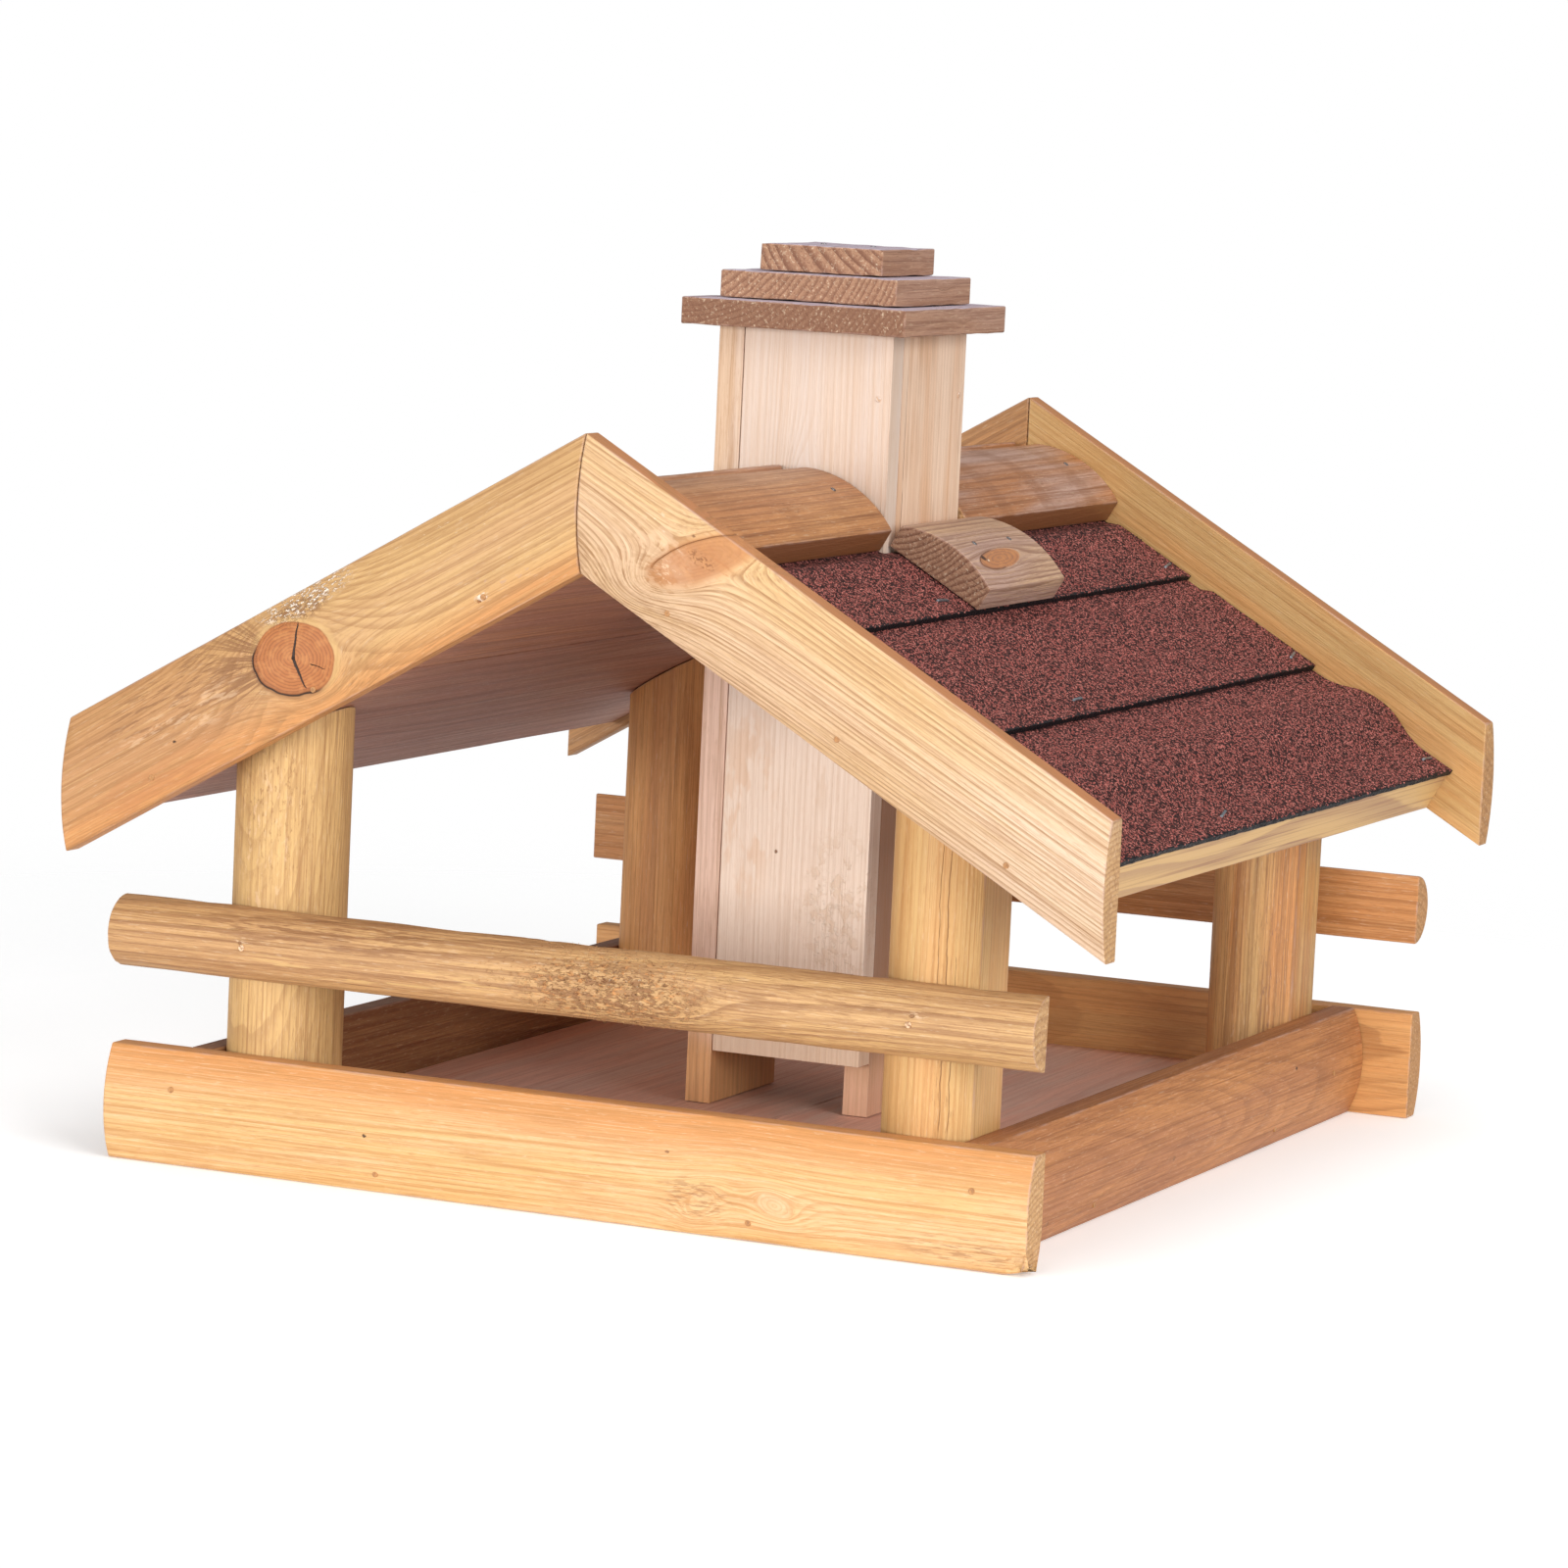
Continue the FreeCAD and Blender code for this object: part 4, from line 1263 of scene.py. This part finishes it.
class FEEDER_OT_lid(Operator):
    """Make the three plates of the lid and the block under them"""

    bl_idname = "feeder.lid"
    bl_label = "Lid"

    def execute(self, context):
        woods = {
            "lower": Wood(
                "sawn", "sawn_line", pith=(50.0, 60.0), drift=(0.02, 0.0), ring=2.4, waver=8.0, curl=2.0,
                end="dusk",
            ),
            "middle": Wood(
                "sawn", "sawn_line", pith=(64.0, 46.0), drift=(0.02, 0.0), ring=2.6, waver=6.0, curl=1.6,
                end="sawn",
            ),
            "upper": Wood(
                "sawn", "sawn_line", pith=(-60.0, 52.0), drift=(0.02, 0.0), ring=4.2, waver=4.0, curl=1.0,
                end="sawn",
            ),
            "plug": Wood("sawn", "sawn_line", pith=(0.0, -40.0), end="sawn"),
        }
        for name, wood in woods.items():
            wood.glow = "weathered"
            # The plates' upward faces: grey weathering and a painted sky reflection
            wood.facings = ((FACE, "weathering_and_sky_sheen"),)
            wood.end_line = "sawn_line"
            wood.end_ring = 0.95 if name == "upper" else 0.7
            wood.contrast = 0.5
            wood.fibre = 0.45
            wood.relief = 0.14
            wood.roughness = 0.68
            lay(Board("lid_" + name, BACK, UP), wood, cross=5.0, splinter=0.9)
        return {"FINISHED"}


class FEEDER_OT_shingles(Operator):
    """Make the three shingle courses of each slope, with raised granules"""

    bl_idname = "feeder.shingles"
    bl_label = "Shingles"

    def execute(self, context):
        finish = context.scene.feeder_shingles
        stone_finish = granule_stone(finish)
        for name, side in SIDES.items():
            for course in ("ridge", "middle", "eave"):
                board = on_slope("shingle_" + name + "_" + course, side)
                sheet = place(board.node + "_felt", self.felt(board, finish), board.node)
                sheet.data.materials.append(granulated(board, finish))
                self.scatter(board, sheet, finish, stone_finish)
        return {"FINISHED"}

    # Height of each course that the one above it leaves bare, in millimetres
    bare = {"ridge": 36.0, "middle": 69.0, "eave": 75.0}

    @classmethod
    def felt(cls, board, finish):
        """The sheet on a fine grid, slightly wavy, with ragged edges. Its faces that the weather
        reaches are marked for the granules."""
        bare = cls.bare[board.node.rsplit("_", 1)[1]]
        copy = plain_copy(board.node)
        density = copy.faces.layers.float.new("density")
        slice_at(copy, *stations(board, ALONG, 5 * MM))
        slice_at(copy, *stations(board, ACROSS, 6 * MM))
        shift = seed_of(board.node)
        copy.normal_update()
        moves = []
        for corner in copy.verts:
            u, v, _ = board.local(corner.co)
            wave = noise.noise(Vector((u / 45, v / 30, 0)) + shift)
            ragged = noise.noise(Vector((u / 5, v / 5, 0)) + shift)
            move = -corner.normal * finish.ragged * (0.25 + 0.25 * wave)
            if v < -board.half.y / MM + 0.5:
                move += board.v * finish.ragged * (0.5 + 0.5 * ragged)
            if abs(u) > board.half.x / MM - 0.5:
                move -= board.u * math.copysign(finish.ragged * (0.6 + 0.6 * ragged), u)
            moves.append(move)
        for corner, move in zip(copy.verts, moves):
            corner.co += move
        copy.normal_update()
        for face in copy.faces:
            height = board.local(face.calc_center_median()).y + board.half.y / MM
            face[density] = float(face.normal.dot(board.w) > 0.7 and 1.0 < height < bare)
        shade(copy)
        return as_mesh(copy, board.node + "_felt")

    @staticmethod
    def scatter(board, sheet, finish, stone_finish):
        """Stones on the faces of the sheet that the weather reaches."""
        piece = put(board.node + "_granules", sheet.data.copy())
        sizes = {
            "Number": float(finish.stones),
            "Smallest": finish.grain * 0.3,
            "Largest": finish.grain * 0.62,
            "Seed": int(seed_of(board.node).x),
        }
        grow(piece, granule_tree(), sizes, stone_finish)
        join(piece, board.node)


# Geometry nodes for what repeats


def new_tree(name, sockets):
    """A geometry tree with named inputs: its bench and the lead of its input node."""
    tree = bpy.data.node_groups.new(name, "GeometryNodeTree")
    tree.interface.new_socket("Geometry", in_out="INPUT", socket_type="NodeSocketGeometry")
    for socket, kind in (*sockets.items(), ("Material", "Material")):
        tree.interface.new_socket(socket, in_out="INPUT", socket_type="NodeSocket" + kind)
    tree.interface.new_socket("Geometry", in_out="OUTPUT", socket_type="NodeSocketGeometry")
    bench = Bench(tree)
    return bench, bench.node("NodeGroupInput")


def end_tree(bench, given, instances):
    """Make instances real and give them the tree's material."""
    real = bench.node("GeometryNodeRealizeInstances", None, {"Geometry": instances})
    inputs = {"Geometry": real, "Material": given.also("Material")}
    bench.node("NodeGroupOutput", None, {0: bench.node("GeometryNodeSetMaterial", None, inputs)})
    return bench.tree


def grow(piece, tree, sizes, finish):
    """Run a geometry tree on a piece and keep what it makes as the piece's own mesh."""
    modifier = piece.modifiers.new(tree.name, "NODES")
    modifier.node_group = tree
    inputs = [item for item in tree.interface.items_tree if item.in_out == "INPUT"]
    names = {item.name: item.identifier for item in inputs}
    for name, value in {**sizes, "Material": finish}.items():
        modifier[names[name]] = value
    graph = bpy.context.evaluated_depsgraph_get()
    made = bpy.data.meshes.new_from_object(piece.evaluated_get(graph))
    piece.modifiers.clear()
    piece.data = made


def random_number(bench, low, high, seed):
    """A number for each point, between two others."""
    inputs = {2: low, 3: high, "Seed": seed}
    return bench.node("FunctionNodeRandomValue", {"data_type": "FLOAT"}, inputs, 1)


def random_vector(bench, low, high, seed):
    """A vector for each point, between two others."""
    inputs = {0: low, 1: high, "Seed": seed}
    return bench.node("FunctionNodeRandomValue", {"data_type": "FLOAT_VECTOR"}, inputs)


def strewn_points(bench, given):
    """Points on faces, as many on a square metre as Number times the density attribute."""
    mask = bench.node("GeometryNodeInputNamedAttribute", {"data_type": "FLOAT"}, {"Name": "density"})
    inputs = {"Mesh": given, "Density": mask * given.also("Number"), "Seed": given.also("Seed")}
    return bench.node("GeometryNodeDistributePointsOnFaces", {"distribute_method": "RANDOM"}, inputs)


def granule_tree():
    """Small stones strewn on faces, each with its own tint."""
    tree = bpy.data.node_groups.get("granules")
    if tree:
        return tree
    sockets = {"Number": "Float", "Smallest": "Float", "Largest": "Float", "Seed": "Int"}
    bench, given = new_tree("granules", sockets)
    stone = bench.node("GeometryNodeMeshUVSphere", None, {"Segments": 4, "Rings": 2, "Radius": 1.0})
    width = random_number(bench, given.also("Smallest"), given.also("Largest"), 5)
    shape = random_vector(bench, (0.7, 0.7, 0.7), (1.0, 1.0, 1.0), 3)
    inputs = {
        "Points": strewn_points(bench, given),
        "Instance": stone,
        "Rotation": random_vector(bench, (0.0, 0.0, 0.0), (6.28, 6.28, 6.28), 7),
        "Scale": bench.node("ShaderNodeVectorMath", {"operation": "SCALE"}, {0: shape, "Scale": width}),
    }
    stones = bench.node("GeometryNodeInstanceOnPoints", None, inputs)
    inputs = {"Geometry": stones, "Name": "tint", "Value": random_number(bench, 0.0, 1.0, 11)}
    settings = {"data_type": "FLOAT", "domain": "INSTANCE"}
    return end_tree(bench, given, bench.node("GeometryNodeStoreNamedAttribute", settings, inputs))


def splinter_tree():
    """Slivers of wood that lean out of faces."""
    sockets = {"Number": "Float", "Length": "Float", "Width": "Float", "Seed": "Int"}
    bench, given = new_tree("splinters", sockets)
    cone = {"Vertices": 4, "Radius Top": 0.1, "Radius Bottom": 1.0, "Depth": 1.0}
    sliver = bench.node("GeometryNodeMeshCone", {"fill_type": "NGON"}, cone)
    points = strewn_points(bench, given)
    lean = random_vector(bench, (-1.2, -1.2, -1.2), (1.2, 1.2, 1.2), 17)
    tilt = {"Rotation": points.also("Rotation"), "Rotate By": lean}
    long = random_number(bench, 0.3, 1.0, 19)
    size = {
        "X": given.also("Width"),
        "Y": given.also("Width"),
        "Z": given.also("Length") * long,
    }
    inputs = {
        "Points": points,
        "Instance": sliver,
        "Rotation": bench.node("FunctionNodeRotateRotation", {"rotation_space": "LOCAL"}, tilt),
        "Scale": bench.node("ShaderNodeCombineXYZ", None, size),
    }
    return end_tree(bench, given, bench.node("GeometryNodeInstanceOnPoints", None, inputs))


def fastener_tree():
    """One fastener at every point, pointing along the point's axis, each turned a little."""
    tree = bpy.data.node_groups.get("fasteners")
    if tree:
        return tree
    bench, given = new_tree("fasteners", {"Fastener": "Object", "Yaw": "Float", "Seed": "Int"})
    vector = {"data_type": "FLOAT_VECTOR"}
    axis = bench.node("GeometryNodeInputNamedAttribute", vector, {"Name": "axis"})
    across = bench.node("GeometryNodeInputNamedAttribute", vector, {"Name": "across"})
    turn = bench.node(
        "FunctionNodeAxesToRotation", {"primary_axis": "Z", "secondary_axis": "X"}, {0: axis, 1: across}
    )
    yaw = random_number(bench, given.also("Yaw") * -1.0, given.also("Yaw"), given.also("Seed"))
    twist = {"Rotation": turn, "Rotate By": bench.node("ShaderNodeCombineXYZ", None, {"Z": yaw})}
    pattern = {"Object": given.also("Fastener")}
    inputs = {
        "Points": given,
        "Instance": bench.node("GeometryNodeObjectInfo", None, pattern, "Geometry"),
        "Rotation": bench.node("FunctionNodeRotateRotation", {"rotation_space": "LOCAL"}, twist),
    }
    return end_tree(bench, given, bench.node("GeometryNodeInstanceOnPoints", None, inputs))


# Roofing


def granule_colour(finish, pick, shine):
    """Black, red or rust by a number from 0 to 1, and lighter or darker by another."""
    red = shine.step(0.3, 1.0).blend(finish.red, finish.rust)
    return pick.step(0.24, 0.40).blend(finish.black, red)


def granule_stone(finish):
    """The raised granules, each of one colour."""
    material, bench, shader = new_finish("granule_stone")
    tint = bench.node("ShaderNodeAttribute", {"attribute_name": "tint"}, None, "Fac")
    spot = bench.node("ShaderNodeTexCoord", None, None, "Object").stretched(4000.0, 4000.0, 4000.0)
    shine = (tint * 7.3).math("FRACT")
    bench.feed(shader.inputs["Base Color"], granule_colour(finish, tint, shine))
    bench.feed(shader.inputs["Roughness"], spot.noise(1.0) * 0.5 + 0.5)
    shader.inputs["Specular IOR Level"].default_value = 0.2
    return material


def granulated(board, finish):
    """Granules pressed into bitumen, with bare black edges."""
    material, bench, shader = new_finish(board.node + "_grit")
    spot = own_axes(bench, board)
    u, v, _ = spot.parts()
    grain = 0.85 * MM / finish.grain
    cells = bench.node("ShaderNodeTexVoronoi", None, {"Vector": spot, "Scale": grain})
    pick, shine, _ = cells.also("Color").parts()
    dome = cells.step(0.66, 0.28)
    worn = spot.streaks(30.0, 30.0, 3.0)
    colour = granule_colour(finish, pick + (worn - 0.5) * 0.3, shine)
    # Darker between the granules: bitumen in the gaps, and painted shade there
    colour = (0.92 - dome * 0.92).blend(colour, finish.black)
    waver = (spot.streaks(3.0, 3.0, 2.0) - 0.5) * 3.0
    low_edge = (v + board.half.y / MM + waver).step(2.6, 1.2)
    ends = (abs(u) + waver * 0.5).step(board.half.x / MM - 1.6, board.half.x / MM - 0.8)
    edge = low_edge.math("MAXIMUM", ends)
    colour = edge.blend(colour, finish.bitumen)
    bump = {"Strength": 1.0, "Distance": 0.6 * MM, "Height": dome * (1.0 - edge * 0.7)}
    bench.feed(shader.inputs["Base Color"], colour)
    bench.feed(shader.inputs["Roughness"], shine * 0.3 + 0.6 - edge * 0.15)
    shader.inputs["Specular IOR Level"].default_value = 0.2
    bench.feed(shader.inputs["Normal"], bench.node("ShaderNodeBump", None, bump))
    return material


class FEEDER_OT_fasteners(Operator):
    """Make the brads and the staples"""

    bl_idname = "feeder.fasteners"
    bl_label = "Fasteners"

    def execute(self, context):
        finish = context.scene.feeder_timber
        steel = self.metal("brad_steel", (0.30, 0.31, 0.33), (0.13, 0.085, 0.06), 0.9)
        blued = self.metal("staple_steel", (0.14, 0.16, 0.18), (0.34, 0.36, 0.39), 0.8)
        stopped = {
            "tray_brads": (finish.honey_line, finish.gold_line),
            "rail_brads": (finish.straw, finish.umber_line),
            "barge_brads": (finish.honey_line, finish.gold_line),
            "silo_brads": (finish.raw_line, finish.raw),
        }
        for node in (name for name in frame["nodes"] if name.endswith("_brads")):
            head = self.metal("stopped_" + node, *stopped[node], 0.0) if node in stopped else steel
            self.set_out(node, brad_axis, self.brad, head, math.pi)
        self.set_out("shingle_staples", staple_axis, self.staple, blued, 0.25)
        return {"FINISHED"}

    @staticmethod
    def metal(name, clean, dull, metallic):
        """Wire steel, or the stain over a stopped head."""
        material, bench, shader = new_finish(name)
        spot = bench.node("ShaderNodeTexCoord", None, None, "Object").stretched(900.0, 900.0, 900.0)
        patch = spot.noise(3.0, 0.6)
        bench.feed(shader.inputs["Base Color"], patch.step(0.4, 0.65).blend(clean, dull))
        bench.feed(shader.inputs["Roughness"], patch * 0.4 + 0.25)
        shader.inputs["Metallic"].default_value = metallic
        return material

    @staticmethod
    def set_out(node, axis_of, shape, finish, yaw):
        """Put a shape in place of every separate solid of a node."""
        solids = [measure(spots, axis_of(spots)) for spots in islands(node)]
        points = bpy.data.meshes.new(node + "_heads")
        points.from_pydata([solid["top"] for solid in solids], [], [])
        for key in ("axis", "across"):
            layer = points.attributes.new(key, "FLOAT_VECTOR", "POINT")
            for item, solid in zip(layer.data, solids):
                item.vector = solid[key]
        pattern = put("pattern", shape(solids[0]))
        piece = put(node + "_heads", points)
        grow(piece, fastener_tree(), {"Fastener": pattern, "Yaw": yaw, "Seed": 8}, finish)
        bpy.data.objects.remove(pattern)
        join(piece, node)
        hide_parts(node)

    @staticmethod
    def brad(solid):
        """A wire brad hanging below the origin, with a low dimpled head."""
        wide = solid["half"]
        thin = wide * 0.66
        long = solid["length"]
        profile = (
            (0.25 * wide, -0.12 * MM),
            (0.45 * wide, 0.0),
            (0.85 * wide, 0.0),
            (wide, -0.2 * MM),
            (wide, -1.0 * MM),
            (thin, -1.2 * MM),
            (thin, -long + 2.5 * MM),
            (0.1 * thin, -long),
        )
        return turned("brad", profile, 12)

    @staticmethod
    def staple(solid):
        """A staple hanging below the origin: a round-shouldered crown on two legs along x."""
        reach, drop = solid["half"], solid["length"]
        thick, wide = 0.6 * MM, 0.5 * MM
        half = [
            (-reach, -drop, -reach + thick, -drop),
            (-reach, -0.9 * MM, -reach + thick, -1.1 * MM),
            (-reach + 0.25 * MM, -0.25 * MM, -reach + thick + 0.2 * MM, -0.7 * MM),
            (-reach + 0.9 * MM, 0.0, -reach + 1.1 * MM, -thick),
        ]
        rows = []
        wire = bmesh.new()
        for x, z, inner_x, inner_z in half + [(-a, b, -c, d) for a, b, c, d in reversed(half)]:
            corners = ((x, -wide, z), (x, wide, z), (inner_x, wide, inner_z), (inner_x, -wide, inner_z))
            rows.append([wire.verts.new(corner) for corner in corners])
        for first, second in zip(rows, rows[1:]):
            for i in range(4):
                wire.faces.new((first[i], first[(i + 1) % 4], second[(i + 1) % 4], second[i]))
        wire.faces.new(rows[0][::-1])
        wire.faces.new(rows[-1])
        bmesh.ops.recalc_face_normals(wire, faces=wire.faces)
        return as_mesh(wire, "staple")


def turned(name, profile, sides):
    """A closed shape turned round z from its (radius, height) profile, given from the top down."""
    shape = bmesh.new()
    rows = []
    for radius, height in profile:
        angles = [2 * math.pi * i / sides for i in range(sides)]
        rows.append([shape.verts.new((radius * math.cos(a), radius * math.sin(a), height)) for a in angles])
    for first, second in zip(rows, rows[1:]):
        for i in range(sides):
            shape.faces.new((first[i], second[i], second[(i + 1) % sides], first[(i + 1) % sides]))
    shape.faces.new(rows[0])
    shape.faces.new(rows[-1][::-1])
    bmesh.ops.recalc_face_normals(shape, faces=shape.faces)
    return as_mesh(shape, name)


def islands(node):
    """The corners of each separate solid of a node."""
    copy = plain_copy(node)
    left = set(copy.verts)
    found = []
    while left:
        island = {left.pop()}
        edge = list(island)
        while edge:
            corner = edge.pop()
            near = {link.other_vert(corner) for link in corner.link_edges} & left
            left -= near
            island |= near
            edge.extend(near)
        found.append(sorted((vertex.co.copy() for vertex in island), key=tuple))
    copy.free()
    return sorted(found, key=lambda spots: tuple(spots[0]))


def mean(spots):
    """The middle of some points."""
    return sum(spots, Vector()) / len(spots)


def brad_axis(spots):
    """The way from a brad's point to its head, which is the wider end."""
    first, second = max(combinations(spots, 2), key=lambda pair: (pair[0] - pair[1]).length)
    way = (first - second).normalized()
    heights = [spot.dot(way) for spot in spots]
    upper = [spot for spot, height in zip(spots, heights) if height > max(heights) - 2 * MM]
    lower = [spot for spot, height in zip(spots, heights) if height < min(heights) + 2 * MM]
    spread = [max((spot - mean(group)).length for spot in group) for group in (upper, lower)]
    axis = (mean(upper) - mean(lower)).normalized()
    return axis if spread[0] > spread[1] else -axis


def staple_axis(spots):
    """The way out of the slope that a staple lies on."""
    return off_slope(math.copysign(1.0, spots[0].x))


def measure(spots, axis):
    """A fastener's place: the middle of its top, the way that faces, a way across it, its length
    and its half width."""
    heights = [spot.dot(axis) for spot in spots]
    crown = [spot for spot, height in zip(spots, heights) if height > max(heights) - 0.05 * MM]
    top = mean(crown)
    across = BACK if abs(axis.y) < 0.5 else UP
    half = max(abs((spot - top).dot(across)) for spot in crown)
    return {"top": top, "axis": axis, "across": across, "half": half, "length": max(heights) - min(heights)}


class FEEDER_OT_stage(Operator):
    """Set up the floor, the lamps and the camera"""

    bl_idname = "feeder.stage"
    bl_label = "Stage"

    def execute(self, context):
        light = context.scene.feeder_stage
        self.floor(light)
        self.lamps(context.scene, light)
        self.camera(context.scene, light)
        return {"FINISHED"}

    @staticmethod
    def floor(light):
        """A pale disc that fades into the white behind it."""
        shape = bmesh.new()
        bmesh.ops.create_circle(shape, cap_ends=True, radius=light.floor_reach, segments=96)
        floor = put("studio_floor", as_mesh(shape, "studio_floor"))
        material, bench, shader = new_finish("studio_floor")
        spot = bench.node("ShaderNodeTexCoord", None, None, "Object")
        far = bench.node("ShaderNodeVectorMath", {"operation": "LENGTH"}, {0: spot}, "Value")
        pale = tuple(0.98 * channel for channel in light.floor)
        cloud = spot.stretched(3.0, 3.0, 3.0).noise(2.0)
        bench.feed(shader.inputs["Base Color"], cloud.blend(light.floor, pale))
        bench.feed(shader.inputs["Alpha"], far.step(light.floor_reach, light.floor_reach * 0.3))
        shader.inputs["Roughness"].default_value = 0.9
        shader.inputs["Emission Color"].default_value = (1.0, 1.0, 1.0, 1.0)
        shader.inputs["Emission Strength"].default_value = 0.22
        floor.data.materials.append(material)

    @staticmethod
    def lamps(scene, light):
        """A white backdrop, an even sky and three soft lamps."""
        world = bpy.data.worlds.new("studio")
        world.use_nodes = True
        bench = Bench(world.node_tree)
        behind = bench.node("ShaderNodeLightPath", None, None, "Is Camera Ray")
        sky = world.node_tree.nodes["Background"]
        sky.inputs["Color"].default_value = (1.0, 1.0, 1.0, 1.0)
        bench.feed(sky.inputs["Strength"], behind * (1.0 - light.sky) + light.sky)
        scene.world = world
        aim = Vector((0.0, 0.0, 0.15))
        # Each lamp's name, place and size in metres, and power
        lamps = (
            ("key", (-0.5, -2.9, 0.42), (2.4, 0.75), light.key),
            ("side", (2.4, -1.5, 1.1), (1.8, 1.8), light.side),
            ("top", (0.2, -0.2, 2.6), (2.6, 2.6), light.top),
        )
        for name, spot, size, power in lamps:
            lamp = bpy.data.lights.new(name, "AREA")
            lamp.shape = "RECTANGLE"
            lamp.size, lamp.size_y = size
            lamp.energy = power
            holder = put(name, lamp)
            holder.location = spot
            holder.rotation_euler = (Vector(spot) - aim).to_track_quat("Z", "Y").to_euler()
            holder.visible_camera = False

    @staticmethod
    def camera(scene, light):
        """The photograph's view, with its angles in radians and its lengths in metres."""
        azimuth, elevation, roll = 0.41495, 0.117085, 0.047266
        target = Vector((0.03173, -0.10074, 0.15492))
        distance = 2.32695
        flat = math.cos(elevation)
        back = Vector((math.sin(azimuth) * flat, -math.cos(azimuth) * flat, math.sin(elevation)))
        across = UP.cross(back).normalized()
        above = back.cross(across)
        level = across * math.cos(roll) + above * math.sin(roll)
        upright = above * math.cos(roll) - across * math.sin(roll)
        lens = bpy.data.cameras.new("photo_view")
        lens.sensor_width = 36.0
        lens.lens = light.lens
        lens.clip_start = 0.05
        lens.clip_end = 200.0
        holder = put("photo_view", lens)
        turn = Matrix((level, upright, back)).transposed().to_4x4()
        holder.matrix_world = Matrix.Translation(target + back * distance) @ turn
        scene.camera = holder
        scene.view_settings.view_transform = "Standard"
        scene.view_settings.look = "None"


STEPS = (
    FEEDER_OT_rims,
    FEEDER_OT_floor,
    FEEDER_OT_posts,
    FEEDER_OT_rails,
    FEEDER_OT_roof_boards,
    FEEDER_OT_barge_boards,
    FEEDER_OT_ridge_caps,
    FEEDER_OT_silo_blocks,
    FEEDER_OT_silo,
    FEEDER_OT_lid,
    FEEDER_OT_shingles,
    FEEDER_OT_fasteners,
    FEEDER_OT_stage,
)


class FEEDER_PT_panel(Panel):
    """The feeder's pieces in the order in which they are made"""

    bl_label = "Bird Feeder House"
    bl_idname = "FEEDER_PT_panel"
    bl_space_type = "VIEW_3D"
    bl_region_type = "UI"
    bl_category = "Feeder"

    def draw(self, context):
        column = self.layout.column()
        for step in STEPS:
            column.operator(step.bl_idname)
        for group, kind in GROUPS.items():
            for name in kind.__annotations__:
                column.prop(getattr(context.scene, group), name)


GROUPS = {"feeder_timber": TimberFinish, "feeder_shingles": ShingleFinish, "feeder_stage": StageLight}


def register():
    for name, group in GROUPS.items():
        bpy.utils.register_class(group)
        setattr(bpy.types.Scene, name, PointerProperty(type=group))
    for step in (*STEPS, FEEDER_PT_panel):
        bpy.utils.register_class(step)


def unregister():
    for step in (FEEDER_PT_panel, *reversed(STEPS)):
        bpy.utils.unregister_class(step)
    for name, group in GROUPS.items():
        delattr(bpy.types.Scene, name)
        bpy.utils.unregister_class(group)


def main():
    register()
    for step in STEPS:
        group, name = step.bl_idname.split(".")
        getattr(getattr(bpy.ops, group), name)()


if __name__ == "__main__":
    main()
